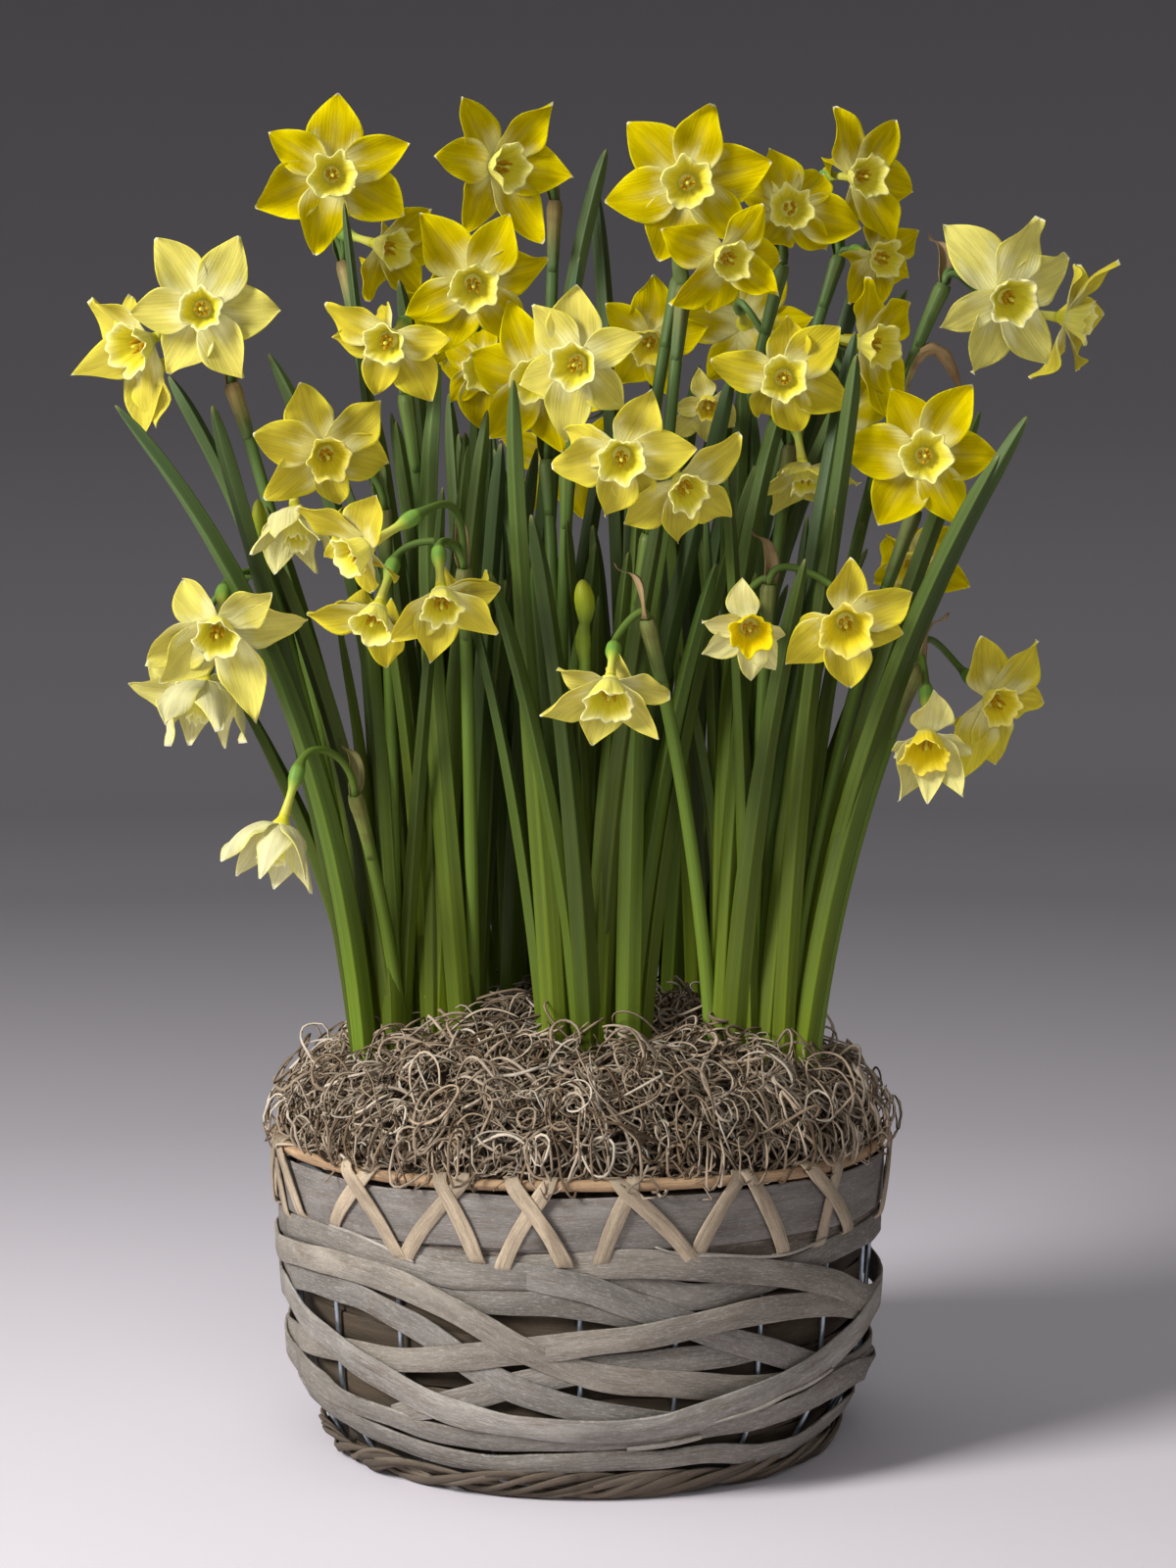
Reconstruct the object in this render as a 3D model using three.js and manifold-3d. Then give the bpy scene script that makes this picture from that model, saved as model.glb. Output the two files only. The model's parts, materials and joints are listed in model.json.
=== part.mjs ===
// A basket of daffodils: a woven basket, lined and filled with potting soil and moss,
// planted with five clumps of bulbs in full bloom. Millimetres, +Z up, the front is -Y.
// The origin is the middle of the basket's underside.
import * as THREE from "three";
import { mergeVertices } from "three/addons/utils/BufferGeometryUtils.js";
import Module from "manifold-3d";

const wasm = await Module();
wasm.setup();

// Driving sizes of the basket
const SIDES = 20;
const RIM_HEIGHT = 123;
const BAND_LOW = 98.4;
const BAND_HIGH = 121.2;
const WALL = [[0, 98], [14, 106.5], [34, 117.5], [80, 120.8], [125, 122]];
const GAP = 0.35;
const STRIP = 1.3;
const WIRE = 2.2;
const WEAVE = 1.8;
const FILM = 0.8;
const BASE_RADIUS = 94;
const BASE_THICKNESS = 4;
const SOIL_TOP = 112;
const HOOP = 5.2;

// Driving sizes of the plants
const BULB_BASE = 42;
const BULB_TOP = 90;
const BULB_MARGIN = 1.4;
const NECK_TOP = 144;
const MOSS_TOP = 163;
const NOSE_PITCH = 13;
const LEAF_SLOTS = [-7.2, -3.9, 5.2, 8.2];
const LEAF_WIDTH = 11;
const LEAF_THICKNESS = 1.9;
const SCAPE_RADIUS = 2.7;
const PEDICEL_RADIUS = 1.5;
const SCAPE_PITCH = 4.6;
const TUBE_LENGTH = 20;
const CLEARANCE = 8;
const OWN_CLEARANCE = 3.2;

// The eye point from which the layout of the plants was measured, for points given as the
// photograph's pixels (px across, py down, in its 1200 by 1600 frame) at a depth y.
const EYE = { x: 3, y: -1400, z: 370, pitch: THREE.MathUtils.degToRad(4.33), focal: 3577 };

function spot(px, py, y) {
  const across = (px - 600) / EYE.focal;
  const rise = (800 - py) / EYE.focal;
  const ahead = Math.cos(EYE.pitch) + rise * Math.sin(EYE.pitch);
  const lift = rise * Math.cos(EYE.pitch) - Math.sin(EYE.pitch);
  const reach = (y - EYE.y) / ahead;
  return new THREE.Vector3(EYE.x + across * reach, y, EYE.z + lift * reach);
}

// Clumps of bulbs: where each stands, and how many noses it has side by side
const CLUMPS = {
  left: { x: -64, y: -15, noses: 4 },
  front: { x: 5, y: -45, noses: 3 },
  right: { x: 71, y: -35, noses: 3 },
  back_left: { x: -30, y: 40, noses: 3 },
  back_right: { x: 36, y: 50, noses: 3 },
};

// Blooms: the middle of the ring of petals (px, py, depth y), the way it faces (az to the
// right of the front, el upwards), the turn of its first petal (roll), its radius, and how
// far its petals fold back (open, in degrees; negative for a half-shut bell).
const BLOOMS = [
  { id: 1, px: 150, py: 348, y: -30, az: -48, el: -22, roll: 12, radius: 28.5, open: 0 },
  { id: 2, px: 207, py: 315, y: -58, az: 0, el: -4, roll: 2, radius: 29.5, open: 4 },
  { id: 3, px: 338, py: 178, y: 10, az: 8, el: -8, roll: 24, radius: 31, open: 2 },
  { id: 4, px: 388, py: 250, y: 42, az: 48, el: -15, roll: 25, radius: 27, open: 0 },
  { id: 5, px: 398, py: 345, y: -64, az: -12, el: -18, roll: 28, radius: 26.5, open: 6 },
  { id: 6, px: 505, py: 170, y: 20, az: 26, el: -5, roll: -5, radius: 31, open: 6 },
  { id: 7, px: 482, py: 287, y: -34, az: 5, el: -18, roll: 10, radius: 31, open: 2 },
  { id: 8, px: 495, py: 372, y: 2, az: 0, el: -20, roll: 30, radius: 26, open: 2 },
  { id: 9, px: 590, py: 369, y: -75, az: -12, el: -12, roll: 21, radius: 29.5, open: 4 },
  { id: 10, px: 550, py: 385, y: -34, az: -14, el: -10, roll: 45, radius: 29, open: 0 },
  { id: 11, px: 701, py: 186, y: -14, az: 0, el: -7, roll: 13, radius: 33, open: 2 },
  { id: 12, px: 738, py: 260, y: -44, az: 25, el: -20, roll: 22, radius: 26, open: 4 },
  { id: 13, px: 663, py: 345, y: 40, az: -5, el: -28, roll: 32, radius: 26, open: 0 },
  { id: 14, px: 805, py: 213, y: 10, az: 2, el: -3, roll: -13, radius: 29, open: 4 },
  { id: 15, px: 873, py: 180, y: 36, az: 30, el: -5, roll: -12, radius: 29, open: 2 },
  { id: 16, px: 895, py: 262, y: 44, az: 20, el: -10, roll: 35, radius: 25, open: 2 },
  { id: 17, px: 882, py: 350, y: -10, az: 46, el: -10, roll: 22, radius: 29.5, open: 2 },
  { id: 18, px: 799, py: 385, y: -48, az: 0, el: -5, roll: 28, radius: 29, open: 4 },
  { id: 19, px: 722, py: 412, y: -2, az: 3, el: -25, roll: 5, radius: 17, open: 0 },
  { id: 20, px: 820, py: 480, y: -14, az: 15, el: -62, roll: 10, radius: 21, open: -30 },
  { id: 21, px: 634, py: 463, y: -106, az: 0, el: -18, roll: 8, radius: 29, open: 4 },
  { id: 22, px: 695, py: 492, y: -98, az: 20, el: -28, roll: 40, radius: 27, open: 2 },
  { id: 23, px: 942, py: 465, y: -50, az: 0, el: -2, roll: -2, radius: 32, open: 2 },
  { id: 24, px: 1023, py: 300, y: -20, az: 5, el: -6, roll: 14, radius: 33, open: 4 },
  { id: 25, px: 1088, py: 325, y: 12, az: 72, el: -10, roll: 35, radius: 26, open: 4 },
  { id: 26, px: 930, py: 572, y: -5, az: -5, el: -25, roll: 40, radius: 25, open: 2 },
  { id: 27, px: 330, py: 460, y: -70, az: 5, el: -8, roll: -15, radius: 29, open: 6 },
  { id: 28, px: 301, py: 524, y: -62, az: 10, el: -62, roll: 0, radius: 24, open: -52 },
  { id: 29, px: 374, py: 557, y: -118, az: -58, el: -28, roll: 15, radius: 27, open: 6 },
  { id: 30, px: 385, py: 622, y: -89, az: -20, el: -48, roll: 30, radius: 27, open: 2 },
  { id: 31, px: 450, py: 606, y: -107, az: 5, el: -42, roll: 15, radius: 26, open: 4 },
  { id: 32, px: 223, py: 637, y: -74, az: 0, el: -33, roll: 10, radius: 29.5, open: 2 },
  { id: 33, px: 208, py: 696, y: -44, az: -5, el: -76, roll: 0, radius: 27, open: -52 },
  { id: 34, px: 198, py: 705, y: -18, az: -8, el: -20, roll: 0, radius: 27, open: 2 },
  { id: 35, px: 287, py: 843, y: -78, az: -40, el: -66, roll: 0, radius: 26, open: -54 },
  { id: 36, px: 622, py: 697, y: -112, az: -5, el: -33, roll: 22, radius: 26, open: 4 },
  { id: 37, px: 764, py: 638, y: -96, az: 3, el: -20, roll: -15, radius: 19.5, open: 4 },
  { id: 38, px: 862, py: 632, y: -95, az: 0, el: -20, roll: 24, radius: 27, open: 4 },
  { id: 39, px: 1012, py: 712, y: -18, az: 20, el: -20, roll: 36, radius: 27.5, open: 4 },
  { id: 40, px: 945, py: 750, y: -64, az: -5, el: -45, roll: 30, radius: 24, open: -16 },
  { id: 41, px: 470, py: 330, y: 88, az: -160, el: -12, roll: 20, radius: 29, open: 4 },
  { id: 42, px: 760, py: 330, y: 92, az: 172, el: -15, roll: 0, radius: 29, open: 4 },
  { id: 43, px: 858, py: 430, y: 84, az: 138, el: -20, roll: 35, radius: 28, open: 2 },
  { id: 44, px: 575, py: 470, y: 90, az: -172, el: -25, roll: 12, radius: 27, open: 4 },
];

// Blooms that press against each other on one stem are one body.
const PRESSED = [[29, 30, 31], [21, 22], [15, 16], [37, 38]];

// Flower stems: the clump and nose each grows from, the node (px, py, y) where its
// flower stalks part, and the blooms that it carries
const SCAPES = [
  { clump: "left", nose: 0, px: 236, py: 392, y: -2, blooms: [1, 2] },
  { clump: "left", nose: 2, px: 350, py: 268, y: 62, blooms: [3, 4] },
  { clump: "left", nose: 3, px: 414, py: 402, y: -36, blooms: [5] },
  { clump: "left", nose: 1, px: 392, py: 520, y: -42, blooms: [27, 28] },
  { clump: "left", nose: 3, px: 473, py: 580, y: -74, blooms: [29, 30, 31] },
  { clump: "left", nose: 0, px: 268, py: 602, y: -36, blooms: [32, 33, 34] },
  { clump: "left", nose: 1, px: 362, py: 812, y: -52, blooms: [35] },
  { clump: "back_left", nose: 2, px: 566, py: 205, y: 44, blooms: [6] },
  { clump: "back_left", nose: 1, px: 486, py: 352, y: 30, blooms: [7, 8] },
  { clump: "back_left", nose: 0, px: 500, py: 400, y: 62, blooms: [41, 44] },
  { clump: "front", nose: 0, px: 580, py: 474, y: -52, blooms: [9] },
  { clump: "front", nose: 0, px: 558, py: 470, y: -10, blooms: [10] },
  { clump: "front", nose: 2, px: 693, py: 284, y: 6, blooms: [11] },
  { clump: "front", nose: 2, px: 698, py: 292, y: -24, blooms: [12] },
  { clump: "front", nose: 1, px: 662, py: 545, y: -70, blooms: [21, 22] },
  { clump: "right", nose: 0, px: 660, py: 632, y: -86, blooms: [36] },
  { clump: "right", nose: 1, px: 785, py: 596, y: -70, blooms: [37, 38] },
  { clump: "right", nose: 0, px: 740, py: 452, y: 24, blooms: [19] },
  { clump: "right", nose: 0, px: 806, py: 456, y: 14, blooms: [18, 20] },
  { clump: "right", nose: 1, px: 866, py: 400, y: 12, blooms: [17] },
  { clump: "right", nose: 2, px: 934, py: 520, y: -22, blooms: [23] },
  { clump: "right", nose: 2, px: 964, py: 290, y: 12, blooms: [24, 25] },
  { clump: "right", nose: 1, px: 924, py: 612, y: 20, blooms: [26] },
  { clump: "right", nose: 2, px: 938, py: 680, y: -30, blooms: [39, 40] },
  { clump: "back_right", nose: 0, px: 668, py: 400, y: 62, blooms: [13] },
  { clump: "back_right", nose: 1, px: 798, py: 270, y: 36, blooms: [14] },
  { clump: "back_right", nose: 2, px: 856, py: 262, y: 70, blooms: [15, 16] },
  { clump: "back_right", nose: 2, px: 800, py: 420, y: 66, blooms: [42, 43] },
];

// Buds still in their green sheath, upright on stems of their own
const BUDS = [
  { clump: "front", nose: 1, px: 596, py: 640, y: -74, length: 18, radius: 4.6 },
  { clump: "left", nose: 0, px: 265, py: 562, y: -38, length: 20, radius: 3.6 },
];

// Leaves that show in front or beside the blooms: nose, slot across the nose (front to
// back) and the tip (px, py, y)
const SHOWN_LEAVES = [
  { clump: "left", nose: 0, slot: 0, px: 118, py: 413, y: -50 },
  { clump: "left", nose: 0, slot: 1, px: 217, py: 414, y: -52 },
  { clump: "left", nose: 0, slot: 3, px: 172, py: 384, y: 10 },
  { clump: "left", nose: 1, slot: 3, px: 274, py: 361, y: 6 },
  { clump: "left", nose: 2, slot: 3, px: 407, py: 285, y: 8 },
  { clump: "left", nose: 3, slot: 0, px: 449, py: 372, y: -58 },
  { clump: "front", nose: 0, slot: 0, px: 524, py: 388, y: -72 },
  { clump: "back_left", nose: 2, slot: 0, px: 619, py: 152, y: 30 },
  { clump: "back_left", nose: 1, slot: 0, px: 592, py: 262, y: 20 },
  { clump: "back_right", nose: 0, slot: 1, px: 607, py: 182, y: 52 },
  { clump: "front", nose: 1, slot: 3, px: 748, py: 378, y: -34 },
  { clump: "back_right", nose: 2, slot: 3, px: 925, py: 296, y: 74 },
  { clump: "back_right", nose: 1, slot: 3, px: 895, py: 222, y: 84 },
  { clump: "right", nose: 0, slot: 1, px: 811, py: 377, y: -22 },
  { clump: "right", nose: 1, slot: 0, px: 874, py: 362, y: -60 },
  { clump: "right", nose: 1, slot: 1, px: 873, py: 338, y: -44 },
  { clump: "right", nose: 2, slot: 0, px: 1048, py: 425, y: -66 },
  { clump: "right", nose: 2, slot: 1, px: 1020, py: 463, y: -84 },
  { clump: "right", nose: 2, slot: 3, px: 1000, py: 420, y: 10 },
  { clump: "front", nose: 2, slot: 0, px: 655, py: 560, y: -92 },
];
const FILLER_LEAF_SEED = 41;
const FILLER_DRAWS = 40;
const EMPTY_SLOTS = 0.22;

// Slanted strips of the open weave: height of each above the floor at every 30 degrees
// round the basket, from the back over the left side to the front and the right side
const WOVEN = [
  { out: 2.1, heights: [50, 62, 74, 83, 88, 85, 58, 41, 38, 42, 46, 47] },
  { out: 1.05, heights: [80, 76, 74, 70, 59, 41, 34, 39, 52, 66, 78, 84] },
  { out: 0.5, heights: [32, 36, 40, 44, 50, 56, 66, 72, 67, 54, 38, 30] },
  { out: 1.6, heights: [84, 86, 80, 76, 82, 88, 84, 62, 49, 46, 60, 72] },
  { out: 0, heights: [24, 22, 20, 19, 18, 18, 18, 19, 21, 24, 26, 26] },
];
const WOVEN_WIDTH = 13;

// Solids: a mesh is handed over as a closed body with its faces outwards.
function solid(positions, triangles) {
  const vertProperties = new Float32Array(positions.length * 3);
  positions.forEach((p, i) => p.toArray(vertProperties, i * 3));
  const triVerts = new Uint32Array(triangles.flat());
  const made = new wasm.Manifold(new wasm.Mesh({ numProp: 3, vertProperties, triVerts }));
  if (made.volume() >= 0) return made;
  return solid(positions, triangles.map(([a, b, c]) => [a, c, b]));
}

function solidOf(geometry) {
  geometry.deleteAttribute("normal");
  geometry.deleteAttribute("uv");
  const merged = mergeVertices(geometry, 1e-3);
  const place = merged.getAttribute("position");
  const points = Array.from({ length: place.count }, (_, i) =>
    new THREE.Vector3().fromBufferAttribute(place, i),
  );
  const faces = [];
  for (let i = 0; i < merged.index.count; i += 3) {
    const face = [0, 1, 2].map((k) => merged.index.getX(i + k));
    if (new Set(face).size === 3) faces.push(face);
  }
  return solid(points, faces);
}

function geometryOf(made) {
  const mesh = made.getMesh();
  const geometry = new THREE.BufferGeometry();
  geometry.setAttribute("position", new THREE.BufferAttribute(mesh.vertProperties, 3));
  geometry.setIndex(new THREE.BufferAttribute(mesh.triVerts, 1));
  geometry.computeVertexNormals();
  return geometry;
}

const joined = (parts) => parts.reduce((all, part) => all.add(part));

// A body through a row of rings with the same number of points each, which is closed by
// its end faces, or runs round on itself.
function loft(rings, { round = false } = {}) {
  const count = rings[0].length;
  const positions = rings.flat();
  const triangles = [];
  const spans = round ? rings.length : rings.length - 1;
  for (let r = 0; r < spans; r++) {
    const next = (r + 1) % rings.length;
    for (let i = 0; i < count; i++) {
      const j = (i + 1) % count;
      triangles.push([r * count + i, next * count + i, next * count + j]);
      triangles.push([r * count + i, next * count + j, r * count + j]);
    }
  }
  if (!round) {
    const last = (rings.length - 1) * count;
    for (let i = 1; i < count - 1; i++) {
      triangles.push([0, i, i + 1]);
      triangles.push([last, last + i + 1, last + i]);
    }
  }
  return solid(positions, triangles);
}

// A lathe about +Z whose first corner faces the front
function turned(profile, sides = SIDES) {
  const points = profile.map(([radius, z]) => new THREE.Vector2(radius, z));
  return new THREE.LatheGeometry(points, sides).rotateX(Math.PI / 2);
}

function wallRadius(z) {
  const height = THREE.MathUtils.clamp(z, WALL[0][0], WALL.at(-1)[0]);
  const i = Math.max(1, WALL.findIndex(([top]) => top >= height));
  const [z0, r0] = WALL[i - 1];
  const [z1, r1] = WALL[i];
  return r0 + ((r1 - r0) * (height - z0)) / (z1 - z0);
}

// Angles round the basket run from the front (-Y) to the right (+X).
const around = (angle, radius, z) =>
  new THREE.Vector3(radius * Math.sin(angle), -radius * Math.cos(angle), z);
const step = (i, count = SIDES) => (i * 2 * Math.PI) / count;

// Radii from the wall's outside inwards, one layer behind another
const wireCentre = (z) => wallRadius(z) - STRIP - GAP - WIRE * 0.75;
const weaveOutside = (z) => wireCentre(z) - WIRE * 0.75 - GAP;
const filmOutside = (z) => weaveOutside(z) - WEAVE - GAP;
const soilOutside = (z) => filmOutside(z) - FILM - GAP;

// The basket
function basketBase() {
  return solidOf(turned([[0, 0], [BASE_RADIUS, 0], [BASE_RADIUS, BASE_THICKNESS], [0, BASE_THICKNESS]]));
}

function footWaling() {
  const profile = [[-1, 0], [1.6, 1.2], [1.2, 9], [-1, 9.6]];
  const rings = profile.map(([out, z]) => [wallRadius(z) + out, z]);
  return solidOf(turned([...rings, rings[0]]));
}

// One long wire, bent up and down in hairpins all round the wall
function wireStakes() {
  const heights = [5, 14, 34, 80, 119];
  const places = Array.from({ length: SIDES }, (_, i) => {
    const climb = heights.map((z) => around(step(i), wireCentre(z), z));
    return i % 2 ? climb.reverse() : climb;
  }).flat();
  const at = (i) => places[(i + places.length) % places.length];
  const rings = places.map((place, i) => {
    const before = place.clone().sub(at(i - 1)).normalize();
    const after = at(i + 1).clone().sub(place).normalize();
    const along = before.clone().add(after).normalize();
    const out = place.clone().setZ(0).normalize();
    out.addScaledVector(along, -out.dot(along)).normalize();
    const half = WIRE / 2;
    const aside = along.clone().cross(out).multiplyScalar(half / Math.max(0.6, along.dot(before)));
    return [[1, 0], [-0.7, 1], [-0.7, -1]].map(([a, b]) =>
      place.clone().addScaledVector(out, a * half).addScaledVector(aside, b),
    );
  });
  return loft(rings, { round: true });
}

function innerWeave() {
  const heights = [4.4, 14, 34, 80, 120];
  const outside = heights.map((z) => [weaveOutside(z), z]);
  const inside = heights.map((z) => [weaveOutside(z) - WEAVE, z]).reverse();
  return solidOf(turned([...outside, ...inside, outside[0]]));
}

// Height of a slanted strip at an angle, through its heights at every 30 degrees
function wovenHeight(heights, angle) {
  const place = ((angle / (2 * Math.PI) + 1.5) % 1) * heights.length;
  const i = Math.floor(place);
  const at = (k) => heights[(k + heights.length) % heights.length];
  const t = place - i;
  const slopeIn = (at(i + 1) - at(i - 1)) / 2;
  const slopeOut = (at(i + 2) - at(i)) / 2;
  return (
    (2 * t ** 3 - 3 * t ** 2 + 1) * at(i) +
    (t ** 3 - 2 * t ** 2 + t) * slopeIn +
    (3 * t ** 2 - 2 * t ** 3) * at(i + 1) +
    (t ** 3 - t ** 2) * slopeOut
  );
}

function wovenStrip({ out, heights }) {
  const half = WOVEN_WIDTH / 2;
  const rings = Array.from({ length: SIDES }, (_, i) => {
    const angle = step(i);
    const z = wovenHeight(heights, angle);
    const low = wallRadius(z - half);
    const high = wallRadius(z + half);
    const bulge = out + Math.max(0, wallRadius(z) - (low + high) / 2);
    return [
      around(angle, low + bulge, z - half),
      around(angle, high + bulge, z + half),
      around(angle, (low + high) / 2 + bulge - STRIP, z),
    ];
  });
  return loft(rings, { round: true });
}

function wovenStrips() {
  return joined(WOVEN.map(wovenStrip));
}

function topBand() {
  const outside = [BAND_LOW, BAND_HIGH].map((z) => [wallRadius(z), z]);
  const inside = [BAND_HIGH, BAND_LOW].map((z) => [wallRadius(z) - STRIP, z]);
  return solidOf(turned([...outside, ...inside, outside[0]]));
}

function rimHoop() {
  const centre = wallRadius(RIM_HEIGHT) - 1;
  const corners = Array.from({ length: 5 }, (_, i) => {
    const turn = step(i, 5);
    return [centre + (HOOP / 2) * Math.cos(turn), RIM_HEIGHT + 1.2 + (HOOP / 2) * Math.sin(turn)];
  });
  return solidOf(turned([...corners, corners[0]]));
}

// Two strips zigzag round the rim and cross in the middle of the top band.
function lashing() {
  const low = 100.5;
  const high = 125;
  const half = 3.2;
  const slope = 0.1;
  const outer = (z) => wallRadius(BAND_LOW) + GAP + 0.2 + (z - low + half) * slope;
  const strip = (phase) => {
    const rings = Array.from({ length: 2 * SIDES }, (_, i) => {
      const angle = step(i, 2 * SIDES);
      const level = i % 2 ? 0.5 : ((i / 2 + phase) % 2);
      const z = low + (high - low) * level;
      return [
        around(angle, outer(z - half), z - half),
        around(angle, outer(z) + STRIP, z),
        around(angle, outer(z + half), z + half),
      ];
    });
    return loft(rings, { round: true });
  };
  return strip(0).add(strip(1));
}

function liner() {
  const floor = BASE_THICKNESS + GAP;
  const outside = [floor, 34, 118].map((z) => [filmOutside(z), z]);
  const inside = [118, 34, floor + FILM].map((z) => [filmOutside(z) - FILM, z]);
  return solidOf(turned([[0, floor], ...outside, ...inside, [0, floor + FILM]]));
}

// The bulbs of a clump sit side by side in the soil. Grown by a margin, the same shape
// and the column above it are the hole that they leave in the soil.
const noseSpan = (clump) => (clump.noses - 1) * NOSE_PITCH;
const rounded = (value) => Math.sign(value) * Math.sqrt(Math.abs(value));

// A level ring with rounded corners round a clump, standing out past its row of noses
function oval(clump, outX, outY, z, count = 12) {
  return Array.from({ length: count }, (_, i) => {
    const turn = step(i + 0.5, count);
    const x = clump.x + (noseSpan(clump) / 2 + outX) * rounded(Math.cos(turn));
    return new THREE.Vector3(x, clump.y + outY * rounded(Math.sin(turn)), z);
  });
}

const noseShift = (clump, nose) => (nose - (clump.noses - 1) / 2) * NOSE_PITCH;

function bulbShape(clump, margin, topped) {
  const ring = (outX, outY, z) => oval(clump, outX + margin, outY + margin, z, 8);
  const rings = [
    ring(-4, 6, BULB_BASE - margin),
    ring(11, 16, BULB_BASE + 14),
    ring(9, 13.5, BULB_BASE + 32),
    ring(5.5, 7.5, BULB_TOP + (topped ? margin : 0)),
  ];
  return loft(topped ? [...rings, ring(6.5, 8.5, SOIL_TOP + 1)] : rings);
}

function soil() {
  const floor = BASE_THICKNESS + GAP + FILM + GAP;
  const side = [floor, 34, SOIL_TOP].map((z) => [soilOutside(z), z]);
  const filled = solidOf(turned([[0, floor], ...side, [0, SOIL_TOP]]));
  const holes = Object.values(CLUMPS).map((clump) => bulbShape(clump, BULB_MARGIN, true));
  return holes.reduce((left, hole) => left.subtract(hole), filled);
}

// The moss swells over the rim in mounds, with a well round each clump of stems.
const WELL_OUT = [14, 18];

function mossMound(x, y) {
  return 4 * Math.sin(x / 21 + 1) * Math.cos(y / 17) + 3 * Math.sin((x + y) / 13);
}

function moss() {
  const floor = SOIL_TOP + GAP;
  const edge = soilOutside(SOIL_TOP);
  const profile = [[0, floor], [edge, floor], [edge, 121], [117, 131], [117.5, 142], [100, 153], [70, 158],
    [35, MOSS_TOP - 2], [0, MOSS_TOP]];
  const shape = turned(profile);
  const place = shape.getAttribute("position");
  for (let i = 0; i < place.count; i++) {
    const share = THREE.MathUtils.smoothstep(place.getZ(i), 135, 150);
    place.setZ(i, place.getZ(i) + share * mossMound(place.getX(i), place.getY(i)));
  }
  const wells = Object.values(CLUMPS).map((clump) =>
    loft([oval(clump, ...WELL_OUT, floor - 1), oval(clump, ...WELL_OUT, MOSS_TOP + 20)]),
  );
  return wells.reduce((left, well) => left.subtract(well), solidOf(shape));
}

// A bloom: a ring of six petals in two layers, stitched to a small hub, with the cup in
// front of it and a short cone behind.
function facing(az, el) {
  const turn = THREE.MathUtils.degToRad(az);
  const lift = THREE.MathUtils.degToRad(el);
  const ahead = new THREE.Vector3(
    Math.sin(turn) * Math.cos(lift),
    -Math.cos(turn) * Math.cos(lift),
    Math.sin(lift),
  );
  const right = new THREE.Vector3(Math.cos(turn), Math.sin(turn), 0);
  return { ahead, right, above: ahead.clone().cross(right) };
}

const HUB = 4;
const CONE = 4.2;

function cupSize(bloom) {
  const shut = bloom.open < -30;
  return { rim: bloom.radius * (shut ? 0.26 : 0.36), height: bloom.radius * (shut ? 0.56 : 0.38) };
}

function bloomSolid(bloom) {
  const { ahead, right, above } = facing(bloom.az, bloom.el);
  const centre = spot(bloom.px, bloom.py, bloom.y);
  const points = [];
  const faces = [];
  const put = (turn, out, forward) => {
    const place = centre.clone();
    place.addScaledVector(right, out * Math.cos(turn));
    place.addScaledVector(above, out * Math.sin(turn));
    place.addScaledVector(ahead, forward);
    return points.push(place) - 1;
  };
  const sixth = Math.PI / 3;
  const roll = THREE.MathUtils.degToRad(bloom.roll);
  const fold = THREE.MathUtils.degToRad(bloom.open);
  const corners = Array.from({ length: 6 }, (_, k) => put(roll + (k - 0.5) * sixth, HUB, 0));
  const keels = Array.from({ length: 6 }, (_, k) => put(roll + k * sixth, HUB * 0.8, -2));
  const tail = put(0, 0, -CONE);

  for (let k = 0; k < 6; k++) {
    const turn = roll + k * sixth;
    const layer = k % 2 ? 1 : -1;
    // A section of the petal at a share of its length: both edges, and the keel behind
    const section = (share, halfWidth, lift) => {
      const along = share * bloom.radius;
      const half = halfWidth * bloom.radius;
      const out = along * Math.cos(fold);
      const forward = -along * Math.sin(fold) + lift * layer;
      const spread = Math.atan2(half, out);
      const reach = Math.hypot(half, out);
      return [
        put(turn - spread, reach, forward),
        put(turn + spread, reach, forward),
        put(turn, out, forward - 1.4),
      ];
    };
    let [low, high, keel] = [corners[k], corners[(k + 1) % 6], keels[k]];
    for (const [share, halfWidth, lift] of [[0.45, 0.35, 1.5], [0.78, 0.29, 1.2]]) {
      const [nextLow, nextHigh, nextKeel] = section(share, halfWidth, lift);
      faces.push([low, nextLow, nextHigh], [low, nextHigh, high]);
      faces.push([high, nextHigh, nextKeel], [high, nextKeel, keel]);
      faces.push([keel, nextKeel, nextLow], [keel, nextLow, low]);
      [low, high, keel] = [nextLow, nextHigh, nextKeel];
    }
    const tip = put(turn, bloom.radius * Math.cos(fold), -bloom.radius * Math.sin(fold) + 0.8 * layer);
    faces.push([low, tip, high], [high, tip, keel], [keel, tip, low]);
    faces.push([corners[k], keels[k], tail], [keels[k], corners[(k + 1) % 6], tail]);
    faces[faces.length - 2].reverse();
    faces[faces.length - 1].reverse();
  }

  const cup = cupSize(bloom);
  const ring = (out) => corners.map((_, k) => put(roll + (k - 0.5) * sixth, out, cup.height));
  const rimOut = ring(cup.rim);
  const rimIn = ring(cup.rim - 1.1);
  const floor = put(0, 0, 1.6);
  for (let i = 0; i < 6; i++) {
    const j = (i + 1) % 6;
    faces.push([corners[i], corners[j], rimOut[j]], [corners[i], rimOut[j], rimOut[i]]);
    faces.push([rimOut[i], rimOut[j], rimIn[j]], [rimOut[i], rimIn[j], rimIn[i]]);
    faces.push([rimIn[i], rimIn[j], floor]);
  }
  return solid(points, faces);
}

// Paths of leaves and stems
const GROUND = 114;
const SAMPLES = 48;

function rootOf(plant) {
  const clump = CLUMPS[plant.clump];
  const slot = plant.slot === undefined ? 0 : LEAF_SLOTS[plant.slot];
  const shift = plant.shift ?? 0;
  return new THREE.Vector3(clump.x + noseShift(clump, plant.nose) + shift, clump.y + slot, GROUND);
}

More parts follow.
